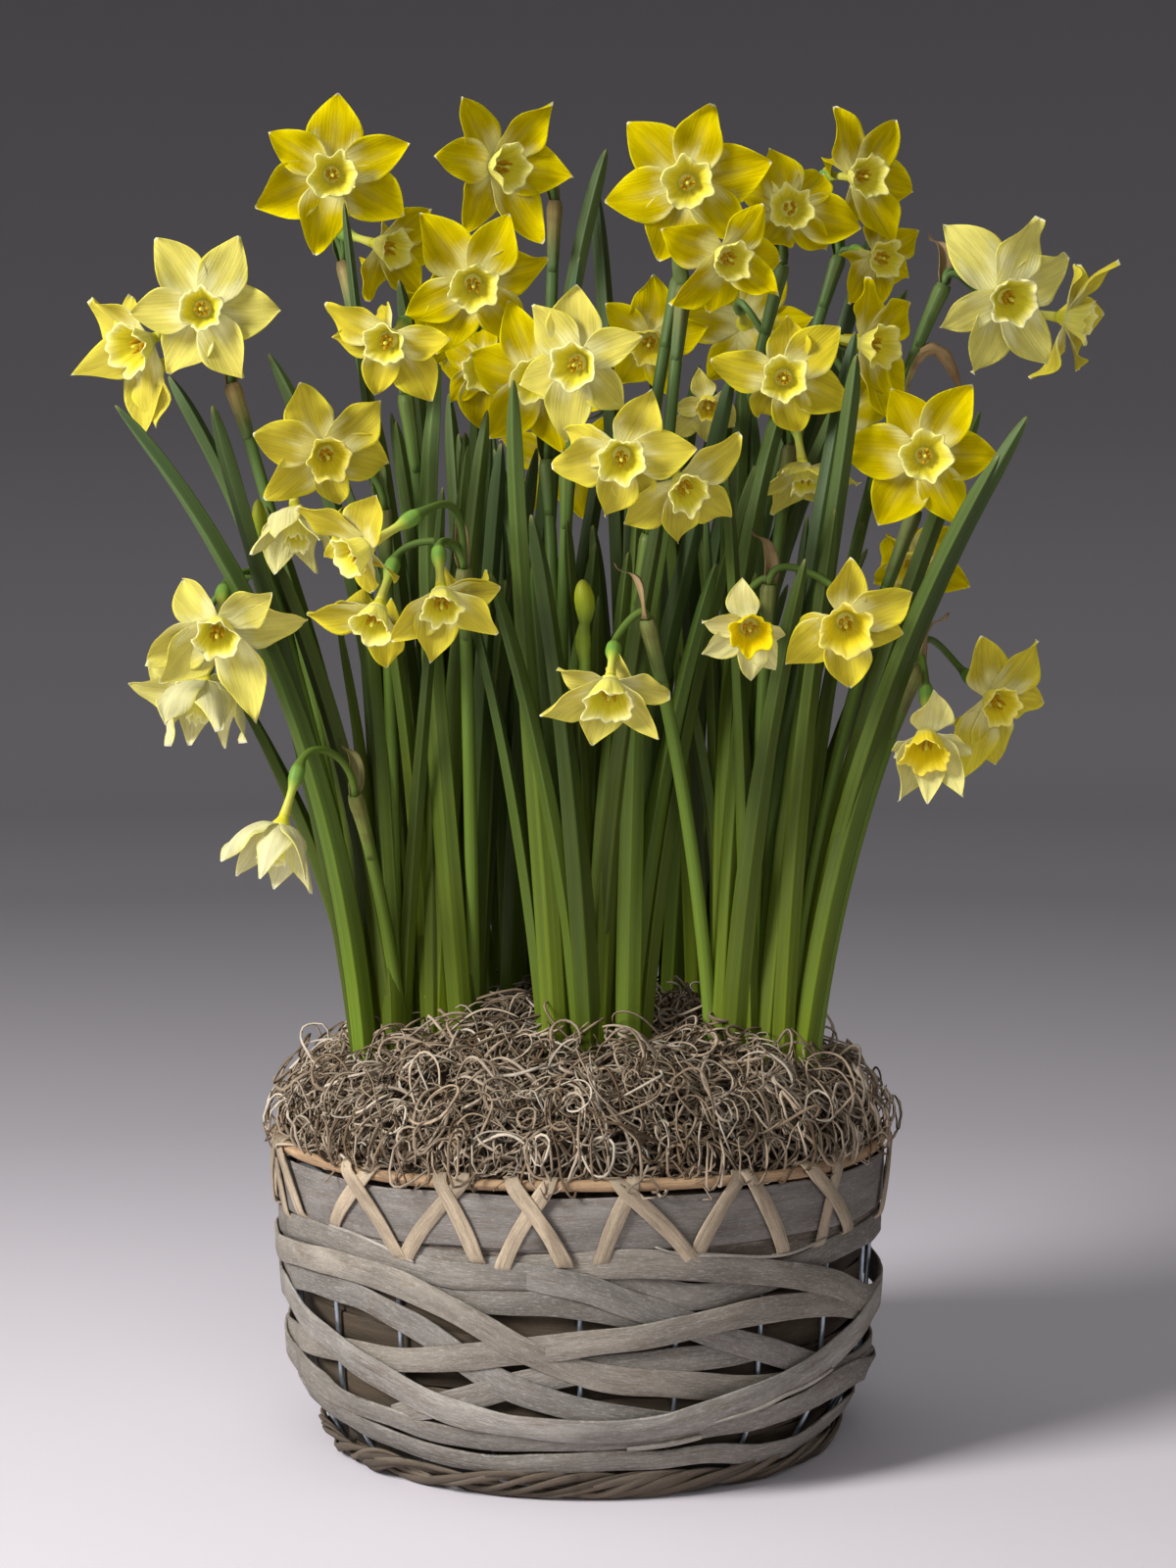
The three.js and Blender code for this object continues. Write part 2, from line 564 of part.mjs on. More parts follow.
function risingPath(root, tip, bow) {
  const height = tip.z - root.z;
  const lean = (share, rise, weight) =>
    new THREE.Vector3(
      root.x + (tip.x - root.x) * share + bow.x * weight,
      root.y + (tip.y - root.y) * share + bow.y * weight,
      root.z + height * rise,
    );
  return new THREE.CubicBezierCurve3(root, lean(0.05, 0.4, 0.2), lean(0.5, 0.75, 1), tip);
}

// The way across a blade, level, turning slowly from root to tip
function bladeAcross(path, t, turn) {
  const along = path.getTangent(t);
  const level = new THREE.Vector3(Math.cos(turn * t), Math.sin(turn * t), 0);
  return level.addScaledVector(along, -level.dot(along)).normalize();
}

const bladeWidth = (t) => LEAF_WIDTH * (0.84 + 0.16 * Math.sin(Math.PI * Math.min(1, t * 1.6)));

// What a stem or leaf has to stay clear of: the room that each bloom takes, the well in
// the moss, and the leaves and stems of the other clumps
function bloomRoom(bloom) {
  const { ahead } = facing(bloom.az, bloom.el);
  const fold = THREE.MathUtils.degToRad(bloom.open);
  const tipForward = -bloom.radius * Math.sin(fold);
  return {
    id: bloom.id,
    centre: spot(bloom.px, bloom.py, bloom.y),
    ahead,
    back: Math.min(0, tipForward) - 6,
    front: Math.max(0, tipForward) + 4.5,
    reach: bloom.radius * Math.cos(fold) + 2.5,
    cup: cupSize(bloom),
  };
}

const ROOMS = BLOOMS.map(bloomRoom);

function inBloom(point, skipped) {
  return ROOMS.some((room) => {
    if (skipped.includes(room.id)) return false;
    const from = point.clone().sub(room.centre);
    const forward = from.dot(room.ahead);
    const out = Math.sqrt(Math.max(0, from.lengthSq() - forward * forward));
    const inPetals = forward > room.back && forward < room.front && out < room.reach;
    const inCup = forward >= 0 && forward < room.cup.height + 2 && out < room.cup.rim + 2.5;
    return inPetals || inCup;
  });
}

function outOfWell(point, clump) {
  if (point.z > 175) return false;
  const across = (point.x - clump.x) / (noseSpan(clump) / 2 + WELL_OUT[0] - 2);
  const along = (point.y - clump.y) / (WELL_OUT[1] - 2);
  return across ** 4 + along ** 4 > 0.9;
}

const grown = [];

function isClear(points, clumpName, skipped = [], own = 0) {
  const clump = CLUMPS[clumpName];
  if (points.some((point) => inBloom(point, skipped) || outOfWell(point, clump))) return false;
  return grown.every((other) => {
    const room = other.clump === clumpName ? own : CLEARANCE;
    if (room === 0) return true;
    const lowest = other.clump === clumpName ? NECK_TOP + 12 : 0;
    return other.points.every(
      (far) => far.z < lowest || points.every((point) => far.distanceToSquared(point) > room ** 2),
    );
  });
}

// The first choice that is clear of its own clump too, or else the first that is clear
function firstClear(choices, pointsOf, clumpName) {
  return (
    choices.find((choice) => isClear(pointsOf(choice), clumpName, [], OWN_CLEARANCE)) ??
    choices.find((choice) => isClear(pointsOf(choice), clumpName))
  );
}

function stemPoints(path) {
  return path.getPoints(SAMPLES);
}

function bladePoints(path, turn) {
  const points = [];
  for (let i = 0; i <= SAMPLES; i++) {
    const t = i / SAMPLES;
    const middle = path.getPoint(t);
    const half = bladeAcross(path, t, turn).multiplyScalar(bladeWidth(t) / 2 + 0.6);
    points.push(middle, middle.clone().add(half), middle.clone().sub(half));
  }
  return points;
}

// Bows to try, from straight to the widest, until a stem or leaf is clear
const BOWS = [0, 10, -10, 20, -20, 30, -30, 42, -42].flatMap((y) =>
  [0, 9, -9, 18, -18].map((x) => ({ x, y })),
);

function clearStem(plant, tip) {
  const paths = BOWS.map((bow) => risingPath(rootOf(plant), tip, bow));
  return firstClear(paths, stemPoints, plant.clump) ?? paths[0];
}

// A stem through stations of [place, radius, direction], three-sided in section
const STEM_CORNERS = [0, 1, 2].map((i) => [Math.cos(step(i, 3)), Math.sin(step(i, 3))]);

function rod(stations) {
  let side = new THREE.Vector3(1, 0, 0);
  const rings = stations.map(([place, radius, along]) => {
    side = side.clone().addScaledVector(along, -side.dot(along)).normalize();
    const other = along.clone().cross(side);
    return STEM_CORNERS.map(([a, b]) =>
      place.clone().addScaledVector(side, a * radius).addScaledVector(other, b * radius),
    );
  });
  return loft(rings);
}

function stemStations(path, shares = [0, 0.33, 0.66, 1]) {
  return shares.map((t) => [path.getPoint(t), SCAPE_RADIUS * (1 - 0.25 * t), path.getTangent(t)]);
}

// The stalk of one bloom: from the node up and over, through the ovary and floral tube
const STALK_SWINGS = [[0, 0], [0, 0.4], [-0.4, 0], [0.4, 0], [0, -0.4], [-0.4, 0.4], [0.4, 0.4]];
const STALK_BENDS = [0.55, 0.8, 0.3, 1.1, 0].flatMap((rise) =>
  STALK_SWINGS.map(([x, y]) => ({ rise, x, y })),
);
const tubePoints = (stalk) => [0.3, 0.7].map((t) => stalk.ovary.clone().lerp(stalk.seat, t));
const stalkPoints = (stalk) => stalk.path.getPoints(16);

function stalkPath(node, bloom, { rise, x, y }) {
  const { ahead } = facing(bloom.az, bloom.el);
  const seat = spot(bloom.px, bloom.py, bloom.y).addScaledVector(ahead, -(CONE + 0.3));
  const ovary = seat.clone().addScaledVector(ahead, -TUBE_LENGTH);
  const far = node.distanceTo(ovary);
  const over = new THREE.Vector3(node.x + far * x, node.y + far * y, node.z + far * rise);
  const behind = ovary.clone().addScaledVector(ahead, -far * 0.45);
  return { path: new THREE.CubicBezierCurve3(node, over, behind, ovary), seat, ovary, ahead };
}

function stalkStations({ path, seat, ovary, ahead }) {
  const bends = [0.2, 0.55].map((t) => [path.getPoint(t), PEDICEL_RADIUS, path.getTangent(t)]);
  const mid = ovary.clone().lerp(seat, 0.4);
  return [...bends, [ovary, 3.1, ahead], [mid, 2, ahead], [seat, 2.4, ahead]];
}

// A blade with a shallow keel behind
function bladeSolid(path, turn, shares = [0, 0.28, 0.55, 0.82]) {
  const rings = shares.map((t) => {
    const middle = path.getPoint(t);
    const across = bladeAcross(path, t, turn);
    const back = across.clone().cross(path.getTangent(t)).multiplyScalar(LEAF_THICKNESS);
    const half = bladeWidth(t) / 2;
    return [
      middle.clone().addScaledVector(across, -half),
      middle.clone().addScaledVector(across, half),
      middle.clone().add(back),
    ];
  });
  const tip = path.getPoint(1);
  const across = bladeAcross(path, 1, turn);
  const back = across.clone().cross(path.getTangent(1)).multiplyScalar(LEAF_THICKNESS * 0.5);
  rings.push([
    tip.clone().addScaledVector(across, -1.4),
    tip.clone().addScaledVector(across, 1.4),
    tip.clone().add(back),
  ]);
  return loft(rings);
}

// The papery sheath at a node, a short curled blade
function spatheSolid(node, rise) {
  const out = rise.clone().setZ(0).normalize();
  const path = new THREE.QuadraticBezierCurve3(
    node,
    node.clone().addScaledVector(out, 1).add(new THREE.Vector3(0, 0, 14)),
    node.clone().addScaledVector(out, 8).add(new THREE.Vector3(0, 0, 30)),
  );
  const across = new THREE.Vector3(-out.y, out.x, 0);
  const rings = [[0, 2.4], [0.5, 4.4], [1, 0.7]].map(([t, half]) => {
    const middle = path.getPoint(t);
    return [
      middle.clone().addScaledVector(across, -half),
      middle.clone().addScaledVector(across, half),
      middle.clone().addScaledVector(out, 1.3),
    ];
  });
  const points = [0, 0.25, 0.5, 0.75, 1].flatMap((t) =>
    [-5, 0, 5].map((half) => path.getPoint(t).addScaledVector(across, half)),
  );
  return { solid: loft(rings), points };
}

function budStations(plant, tip) {
  const up = new THREE.Vector3(0, 0, 1);
  return [[0.3, plant.radius], [0.7, plant.radius * 0.9], [1, 0.9]].map(([share, radius]) => [
    tip.clone().addScaledVector(up, share * plant.length),
    radius,
    up,
  ]);
}

// Seeded draws, so that every build grows the same leaves
function seeded(seed) {
  let state = seed;
  return () => {
    state = (state + 0x6d2b79f5) | 0;
    let mixed = Math.imul(state ^ (state >>> 15), 1 | state);
    mixed = (mixed + Math.imul(mixed ^ (mixed >>> 7), 61 | mixed)) ^ mixed;
    return ((mixed ^ (mixed >>> 14)) >>> 0) / 4294967296;
  };
}

const greenery = Object.fromEntries(Object.keys(CLUMPS).map((name) => [name, []]));
const keep = (name, piece, points) => {
  greenery[name].push(piece);
  grown.push({ clump: name, points });
};

function growNecks() {
  for (const [name, clump] of Object.entries(CLUMPS)) {
    keep(name, loft([oval(clump, 5, 7, BULB_TOP + GAP), oval(clump, 7.5, 11, NECK_TOP)]), []);
  }
}

function growScapes() {
  const byId = new Map(BLOOMS.map((bloom) => [bloom.id, bloom]));
  for (const plant of SCAPES) {
    const node = spot(plant.px, plant.py, plant.y);
    const beside = SCAPES.filter((other) => other.clump === plant.clump && other.nose === plant.nose);
    const shift = (beside.indexOf(plant) - (beside.length - 1) / 2) * SCAPE_PITCH;
    const path = clearStem({ ...plant, shift }, node);
    grown.push({ clump: plant.clump, points: stemPoints(path) });
    for (const [order, id] of plant.blooms.entries()) {
      const choices = STALK_BENDS.map((bend) => stalkPath(node, byId.get(id), bend));
      const fits = (choice) =>
        isClear(stalkPoints(choice), plant.clump) && isClear(tubePoints(choice), plant.clump, [id]);
      const stalk = choices.find(fits) ?? choices[0];
      const start = order === 0 ? stemStations(path) : stemStations(path, [0.96]);
      const points = stalkPoints(stalk).concat(tubePoints(stalk));
      keep(plant.clump, rod([...start, ...stalkStations(stalk)]), points);
    }
    for (const turn of [200, 90, 270, 0, 180, 135, 225, 45, 315]) {
      const away = around(THREE.MathUtils.degToRad(turn), 1, 0);
      const spathe = spatheSolid(node, away);
      if (!isClear(spathe.points, plant.clump)) continue;
      keep(plant.clump, spathe.solid, spathe.points);
      break;
    }
  }
  for (const plant of BUDS) {
    const tip = spot(plant.px, plant.py, plant.y);
    const path = clearStem(plant, tip);
    keep(plant.clump, rod([...stemStations(path), ...budStations(plant, tip)]), stemPoints(path));
  }
}

function growShownLeaves() {
  for (const plant of SHOWN_LEAVES) {
    const wanted = spot(plant.px, plant.py, plant.y);
    const root = rootOf(plant);
    const turn = Math.atan2(wanted.y - root.y, wanted.x - root.x) * 0.12;
    const options = [0, 12, -12, 24, -24].flatMap((depth) => BOWS.map((bow) => ({ depth, bow })));
    const fits = ({ depth, bow }) => {
      return bladePoints(risingPath(root, spot(plant.px, plant.py, plant.y + depth), bow), turn);
    };
    const found = firstClear(options, fits, plant.clump);
    if (!found) continue;
    const path = risingPath(root, spot(plant.px, plant.py, plant.y + found.depth), found.bow);
    keep(plant.clump, bladeSolid(path, turn), bladePoints(path, turn));
  }
}

// Most other slots of every nose get a leaf each. A draw that would touch is drawn again.
function growFillerLeaves() {
  const draw = seeded(FILLER_LEAF_SEED);
  const taken = new Set(SHOWN_LEAVES.map((plant) => [plant.clump, plant.nose, plant.slot].join()));
  for (const [name, clump] of Object.entries(CLUMPS)) {
    for (let nose = 0; nose < clump.noses; nose++) {
      for (let slot = 0; slot < 4; slot++) {
        if (taken.has([name, nose, slot].join()) || draw() < EMPTY_SLOTS) continue;
        const root = rootOf({ clump: name, nose, slot });
        for (let tries = 0; tries < FILLER_DRAWS; tries++) {
          const lean = (slot < 2 ? -1 : 1) * (6 + 44 * draw());
          const aside = (draw() - 0.5) * 70 + noseShift(clump, nose) * 0.9 + clump.x * 0.25;
          const height = 150 + 170 * draw() - tries * 2;
          const turn = (draw() - 0.5) * 1.2;
          const tip = new THREE.Vector3(root.x + aside, root.y + lean, root.z + height);
          const path = risingPath(root, tip, { x: 0, y: 0 });
          const points = bladePoints(path, turn);
          if (!isClear(points, name, [], tries < FILLER_DRAWS / 2 ? OWN_CLEARANCE : 0)) continue;
          keep(name, bladeSolid(path, turn), points);
          break;
        }
      }
    }
  }
}

// Materials: colour, roughness and metalness of each kind of piece
const FINISH = {
  cane: [0x8f897c, 0.8, 0],
  weave: [0x6f675a, 0.85, 0],
  band: [0xa39d92, 0.75, 0],
  hoop: [0xb98f62, 0.65, 0],
  lash: [0xa8957a, 0.75, 0],
  wire: [0x9aa6ae, 0.4, 0.9],
  film: [0x3c3a36, 0.35, 0],
  soil: [0x35281d, 0.95, 0],
  moss: [0x8e8672, 0.95, 0],
  bulb: [0x8a5f35, 0.7, 0],
  green: [0x4f7a3a, 0.5, 0],
  petal: [0xe6d21c, 0.45, 0],
};

const basket = new THREE.Group();

function add(name, made, finish) {
  const [color, roughness, metalness] = FINISH[finish];
  const material = new THREE.MeshStandardMaterial({ color, roughness, metalness });
  const mesh = new THREE.Mesh(geometryOf(made), material);
  mesh.name = name;
  basket.add(mesh);
}

function addBasket() {
  add("basket_base", basketBase(), "cane");
  add("foot_waling", footWaling(), "weave");
  add("wire_stakes", wireStakes(), "wire");
  add("inner_weave", innerWeave(), "weave");
  add("woven_strips", wovenStrips(), "cane");
  add("top_band", topBand(), "band");
  add("rim_hoop", rimHoop(), "hoop");
  add("rim_lashing", lashing(), "lash");
  add("liner_film", liner(), "film");
  add("potting_soil", soil(), "soil");
  add("moss_mat", moss(), "moss");
}

function addPlants() {
  growNecks();
  growScapes();
  growShownLeaves();
  growFillerLeaves();
  for (const [name, clump] of Object.entries(CLUMPS)) {
    add("bulbs_" + name, bulbShape(clump, 0, false), "bulb");
    add("greens_" + name, joined(greenery[name]), "green");
  }
}

function addBlooms() {
  const grouped = new Set(PRESSED.flat());
  const solids = new Map(BLOOMS.map((bloom) => [bloom.id, bloomSolid(bloom)]));
  const title = (id) => String(id).padStart(2, "0");
  for (const ids of PRESSED) {
    add("blooms_" + ids.map(title).join("_"), joined(ids.map((id) => solids.get(id))), "petal");
  }
  for (const [id, made] of solids) {
    if (!grouped.has(id)) add("bloom_" + title(id), made, "petal");
  }
}

addBasket();
addPlants();
addBlooms();

export default basket;
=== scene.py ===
# A basket of daffodils: the fine forms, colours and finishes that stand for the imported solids.
# Sizes are in millimetres until a mesh is made. +Z is up and the front is -Y.
import math

import bpy
import numpy as np
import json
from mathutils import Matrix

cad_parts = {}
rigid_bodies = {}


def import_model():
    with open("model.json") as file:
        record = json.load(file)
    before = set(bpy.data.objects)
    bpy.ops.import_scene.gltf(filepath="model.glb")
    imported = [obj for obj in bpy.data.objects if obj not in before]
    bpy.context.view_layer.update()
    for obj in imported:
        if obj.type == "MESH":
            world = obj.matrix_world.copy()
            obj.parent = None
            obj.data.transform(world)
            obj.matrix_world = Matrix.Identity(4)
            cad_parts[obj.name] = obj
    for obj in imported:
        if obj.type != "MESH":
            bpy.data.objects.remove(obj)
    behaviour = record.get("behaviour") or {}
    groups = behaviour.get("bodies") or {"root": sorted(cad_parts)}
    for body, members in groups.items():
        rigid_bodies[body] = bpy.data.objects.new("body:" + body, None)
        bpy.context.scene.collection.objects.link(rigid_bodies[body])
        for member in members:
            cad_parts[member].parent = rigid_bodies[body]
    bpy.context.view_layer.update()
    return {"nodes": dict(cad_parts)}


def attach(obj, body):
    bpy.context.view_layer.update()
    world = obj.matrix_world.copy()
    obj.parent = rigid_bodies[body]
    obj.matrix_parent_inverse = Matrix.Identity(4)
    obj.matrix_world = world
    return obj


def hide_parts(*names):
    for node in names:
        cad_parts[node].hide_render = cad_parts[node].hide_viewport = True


MM = 0.001

# Driving sizes of the basket
SIDES = 20
RIM_HEIGHT = 123
BAND_LOW = 98.4
BAND_HIGH = 121.2
WALL = [(0, 98), (14, 106.5), (34, 117.5), (80, 120.8), (125, 122)]
GAP = 0.35
STRIP = 1.3
WIRE = 2.2
WEAVE = 1.8
BASE_RADIUS = 94
BASE_THICKNESS = 4
HOOP = 5.2

# Driving sizes of the plants
NECK_TOP = 144
BULB_TOP = 90
NOSE_PITCH = 13
LEAF_SLOTS = [-7.2, -3.9, 5.2, 8.2]
LEAF_WIDTH = 11
LEAF_THICKNESS = 1.9
SCAPE_RADIUS = 2.7
PEDICEL_RADIUS = 1.5
SCAPE_PITCH = 4.6
TUBE_LENGTH = 20
CLEARANCE = 8
OWN_CLEARANCE = 3.2
GROUND = 114
SAMPLES = 48
CONE = 4.2
WELL_OUT = [14, 18]

# The eye point from which the layout was measured, for points given as the photograph's
# pixels (px across, py down, in its 1200 by 1600 frame) at a depth y
EYE = np.array([3.0, -1400.0, 370.0])
PITCH = math.radians(4.33)
FOCAL = 3577
FRAME_WIDTH = 1200
FRAME_HEIGHT = 1600

CLUMPS = {
    "left": {"x": -64, "y": -15, "noses": 4},
    "front": {"x": 5, "y": -45, "noses": 3},
    "right": {"x": 71, "y": -35, "noses": 3},
    "back_left": {"x": -30, "y": 40, "noses": 3},
    "back_right": {"x": 36, "y": 50, "noses": 3},
}

# Blooms: the middle of the ring of petals (px, py, depth y), the way it faces (az to the
# right of the front, el upwards), the turn of its first petal (roll), its radius, and how
# far its petals fold back (open, in degrees; negative for a half-shut bell)
BLOOM_KEYS = ("px", "py", "y", "az", "el", "roll", "radius", "open")
BLOOM_ROWS = {
    1: (150, 348, -30, -48, -22, 12, 28.5, 0),
    2: (207, 315, -58, 0, -4, 2, 29.5, 4),
    3: (338, 178, 10, 8, -8, 24, 31, 2),
    4: (388, 250, 42, 48, -15, 25, 27, 0),
    5: (398, 345, -64, -12, -18, 28, 26.5, 6),
    6: (505, 170, 20, 26, -5, -5, 31, 6),
    7: (482, 287, -34, 5, -18, 10, 31, 2),
    8: (495, 372, 2, 0, -20, 30, 26, 2),
    9: (590, 369, -75, -12, -12, 21, 29.5, 4),
    10: (550, 385, -34, -14, -10, 45, 29, 0),
    11: (701, 186, -14, 0, -7, 13, 33, 2),
    12: (738, 260, -44, 25, -20, 22, 26, 4),
    13: (663, 345, 40, -5, -28, 32, 26, 0),
    14: (805, 213, 10, 2, -3, -13, 29, 4),
    15: (873, 180, 36, 30, -5, -12, 29, 2),
    16: (895, 262, 44, 20, -10, 35, 25, 2),
    17: (882, 350, -10, 46, -10, 22, 29.5, 2),
    18: (799, 385, -48, 0, -5, 28, 29, 4),
    19: (722, 412, -2, 3, -25, 5, 17, 0),
    20: (820, 480, -14, 15, -62, 10, 21, -30),
    21: (634, 463, -106, 0, -18, 8, 29, 4),
    22: (695, 492, -98, 20, -28, 40, 27, 2),
    23: (942, 465, -50, 0, -2, -2, 32, 2),
    24: (1023, 300, -20, 5, -6, 14, 33, 4),
    25: (1088, 325, 12, 72, -10, 35, 26, 4),
    26: (930, 572, -5, -5, -25, 40, 25, 2),
    27: (330, 460, -70, 5, -8, -15, 29, 6),
    28: (301, 524, -62, 10, -62, 0, 24, -52),
    29: (374, 557, -118, -58, -28, 15, 27, 6),
    30: (385, 622, -89, -20, -48, 30, 27, 2),
    31: (450, 606, -107, 5, -42, 15, 26, 4),
    32: (223, 637, -74, 0, -33, 10, 29.5, 2),
    33: (208, 696, -44, -5, -76, 0, 27, -52),
    34: (198, 705, -18, -8, -20, 0, 27, 2),
    35: (287, 843, -78, -40, -66, 0, 26, -54),
    36: (622, 697, -112, -5, -33, 22, 26, 4),
    37: (764, 638, -96, 3, -20, -15, 19.5, 4),
    38: (862, 632, -95, 0, -20, 24, 27, 4),
    39: (1012, 712, -18, 20, -20, 36, 27.5, 4),
    40: (945, 750, -64, -5, -45, 30, 24, -16),
    41: (470, 330, 88, -160, -12, 20, 29, 4),
    42: (760, 330, 92, 172, -15, 0, 29, 4),
    43: (858, 430, 84, 138, -20, 35, 28, 2),
    44: (575, 470, 90, -172, -25, 12, 27, 4),
}
BLOOMS = {key: dict(zip(BLOOM_KEYS, row), id=key) for key, row in BLOOM_ROWS.items()}

# Blooms that press against each other on one stem are one body.
PRESSED = [(29, 30, 31), (21, 22), (15, 16), (37, 38)]

# Flower stems: the clump and nose each grows from, the node (px, py, y) where its flower
# stalks part, and the blooms that it carries
SCAPES = [
    ("left", 0, 236, 392, -2, (1, 2)),
    ("left", 2, 350, 268, 62, (3, 4)),
    ("left", 3, 414, 402, -36, (5,)),
    ("left", 1, 392, 520, -42, (27, 28)),
    ("left", 3, 473, 580, -74, (29, 30, 31)),
    ("left", 0, 268, 602, -36, (32, 33, 34)),
    ("left", 1, 362, 812, -52, (35,)),
    ("back_left", 2, 566, 205, 44, (6,)),
    ("back_left", 1, 486, 352, 30, (7, 8)),
    ("back_left", 0, 500, 400, 62, (41, 44)),
    ("front", 0, 580, 474, -52, (9,)),
    ("front", 0, 558, 470, -10, (10,)),
    ("front", 2, 693, 284, 6, (11,)),
    ("front", 2, 698, 292, -24, (12,)),
    ("front", 1, 662, 545, -70, (21, 22)),
    ("right", 0, 660, 632, -86, (36,)),
    ("right", 1, 785, 596, -70, (37, 38)),
    ("right", 0, 740, 452, 24, (19,)),
    ("right", 0, 806, 456, 14, (18, 20)),
    ("right", 1, 866, 400, 12, (17,)),
    ("right", 2, 934, 520, -22, (23,)),
    ("right", 2, 964, 290, 12, (24, 25)),
    ("right", 1, 924, 612, 20, (26,)),
    ("right", 2, 938, 680, -30, (39, 40)),
    ("back_right", 0, 668, 400, 62, (13,)),
    ("back_right", 1, 798, 270, 36, (14,)),
    ("back_right", 2, 856, 262, 70, (15, 16)),
    ("back_right", 2, 800, 420, 66, (42, 43)),
]

# Buds still in their green sheath: clump, nose, px, py, y, length, radius
BUDS = [
    ("front", 1, 596, 640, -74, 18, 4.6),
    ("left", 0, 265, 562, -38, 20, 3.6),
]

# Leaves that show in front or beside the blooms: clump, nose, slot, and the tip px, py, y
SHOWN_LEAVES = [
    ("left", 0, 0, 118, 413, -50),
    ("left", 0, 1, 217, 414, -52),
    ("left", 0, 3, 172, 384, 10),
    ("left", 1, 3, 274, 361, 6),
    ("left", 2, 3, 407, 285, 8),
    ("left", 3, 0, 449, 372, -58),
    ("front", 0, 0, 524, 388, -72),
    ("back_left", 2, 0, 619, 152, 30),
    ("back_left", 1, 0, 592, 262, 20),
    ("back_right", 0, 1, 607, 182, 52),
    ("front", 1, 3, 748, 378, -34),
    ("back_right", 2, 3, 925, 296, 74),
    ("back_right", 1, 3, 895, 222, 84),
    ("right", 0, 1, 811, 377, -22),
    ("right", 1, 0, 874, 362, -60),
    ("right", 1, 1, 873, 338, -44),
    ("right", 2, 0, 1048, 425, -66),
    ("right", 2, 1, 1020, 463, -84),
    ("right", 2, 3, 1000, 420, 10),
    ("front", 2, 0, 655, 560, -92),
]
FILLER_LEAF_SEED = 41
FILLER_DRAWS = 40
EMPTY_SLOTS = 0.22
# How much taller than its solid a filler leaf may grow, the first that fits
LEAF_GROWTH = (2.0, 1.85, 1.7, 1.55, 1.4, 1.25, 1.1)
# The line (px, py) that filler leaves stay under
SKYLINE = [(100, 720), (180, 640), (250, 520), (310, 430), (450, 385), (600, 350), (780, 380), (900, 440), (980, 560), (1060, 720)]
# Narrow leaves that show in front: clump, x of the root from its middle, tip px, py, y, bow, share of width
PLACED_LEAVES = [
    ("left", 3, 351, 206, -14, -6, 0.5),
    ("left", -8, 452, 497, -88, 4, 0.55),
]


# Small vector helpers
def vec(*values):
    return np.array(values, float)


def unit(v):
    return v / np.maximum(np.linalg.norm(v, axis=-1, keepdims=True), 1e-12)


def spot(px, py, y):
    across = (px - FRAME_WIDTH / 2) / FOCAL
    rise = (FRAME_HEIGHT / 2 - py) / FOCAL
    ahead = math.cos(PITCH) + rise * math.sin(PITCH)
    lift = rise * math.cos(PITCH) - math.sin(PITCH)
    reach = (y - EYE[1]) / ahead
    return vec(EYE[0] + across * reach, y, EYE[2] + lift * reach)


def wall_radius(z):
    heights, radii = zip(*WALL)
    return np.interp(z, heights, radii)


def around(angle, radius, z):
    """A point round the basket; angles run from the front to the right side."""
    angle, radius, z = np.broadcast_arrays(angle, radius, z)
    return np.stack([radius * np.sin(angle), -radius * np.cos(angle), z], -1)


def facing(az, el):
    turn, lift = math.radians(az), math.radians(el)
    ahead = vec(math.sin(turn) * math.cos(lift), -math.cos(turn) * math.cos(lift), math.sin(lift))
    right = vec(math.cos(turn), math.sin(turn), 0)
    return ahead, right, np.cross(ahead, right)


def seeded(seed):
    """Repeatable draws between 0 and 1, the same as the solids' own."""
    state = seed
    word = 0xFFFFFFFF

    def draw():
        nonlocal state
        state = (state + 0x6D2B79F5) & word
        mixed = ((state ^ (state >> 15)) * (1 | state)) & word
        mixed = ((mixed + ((mixed ^ (mixed >> 7)) * (61 | mixed))) & word) ^ mixed
        return (mixed ^ (mixed >> 14)) / 4294967296

    return draw


class Bend:
    """A cubic curve through the air, with the tangent measured over a small step."""

    STEP = 0.0001

    def __init__(self, *corners):
        self.corners = np.array(corners, float)

    def point(self, t):
        t = np.asarray(t, float)[..., None]
        a, b, c, d = self.corners
        k = 1 - t
        return k**3 * a + 3 * k**2 * t * b + 3 * k * t**2 * c + t**3 * d

    def tangent(self, t):
        t = np.asarray(t, float)
        low = np.maximum(t - self.STEP, 0)
        high = np.minimum(t + self.STEP, 1)
        return unit(self.point(high) - self.point(low))


# Where leaves and stems grow: the same search for clear paths as the solids'
def nose_span(clump):
    return (clump["noses"] - 1) * NOSE_PITCH


def nose_shift(clump, nose):
    return (nose - (clump["noses"] - 1) / 2) * NOSE_PITCH


def root_of(name, nose, slot=None, shift=0):
    clump = CLUMPS[name]
    step = 0 if slot is None else LEAF_SLOTS[slot]
    return vec(clump["x"] + nose_shift(clump, nose) + shift, clump["y"] + step, GROUND)


def rising_path(root, tip, bow):
    height = tip[2] - root[2]

    def lean(share, rise, weight):
        return vec(
            root[0] + (tip[0] - root[0]) * share + bow[0] * weight,
            root[1] + (tip[1] - root[1]) * share + bow[1] * weight,
            root[2] + height * rise,
        )

    return Bend(root, lean(0.05, 0.4, 0.2), lean(0.5, 0.75, 1), tip)


def blade_across(path, t, turn):
    t = np.asarray(t, float)
    along = path.tangent(t)
    level = np.stack([np.cos(turn * t), np.sin(turn * t), np.zeros_like(t)], -1)
    return unit(level - along * np.sum(level * along, -1, keepdims=True))


def blade_width(t):
    return LEAF_WIDTH * (0.84 + 0.16 * np.sin(np.pi * np.minimum(1, np.asarray(t) * 1.6)))


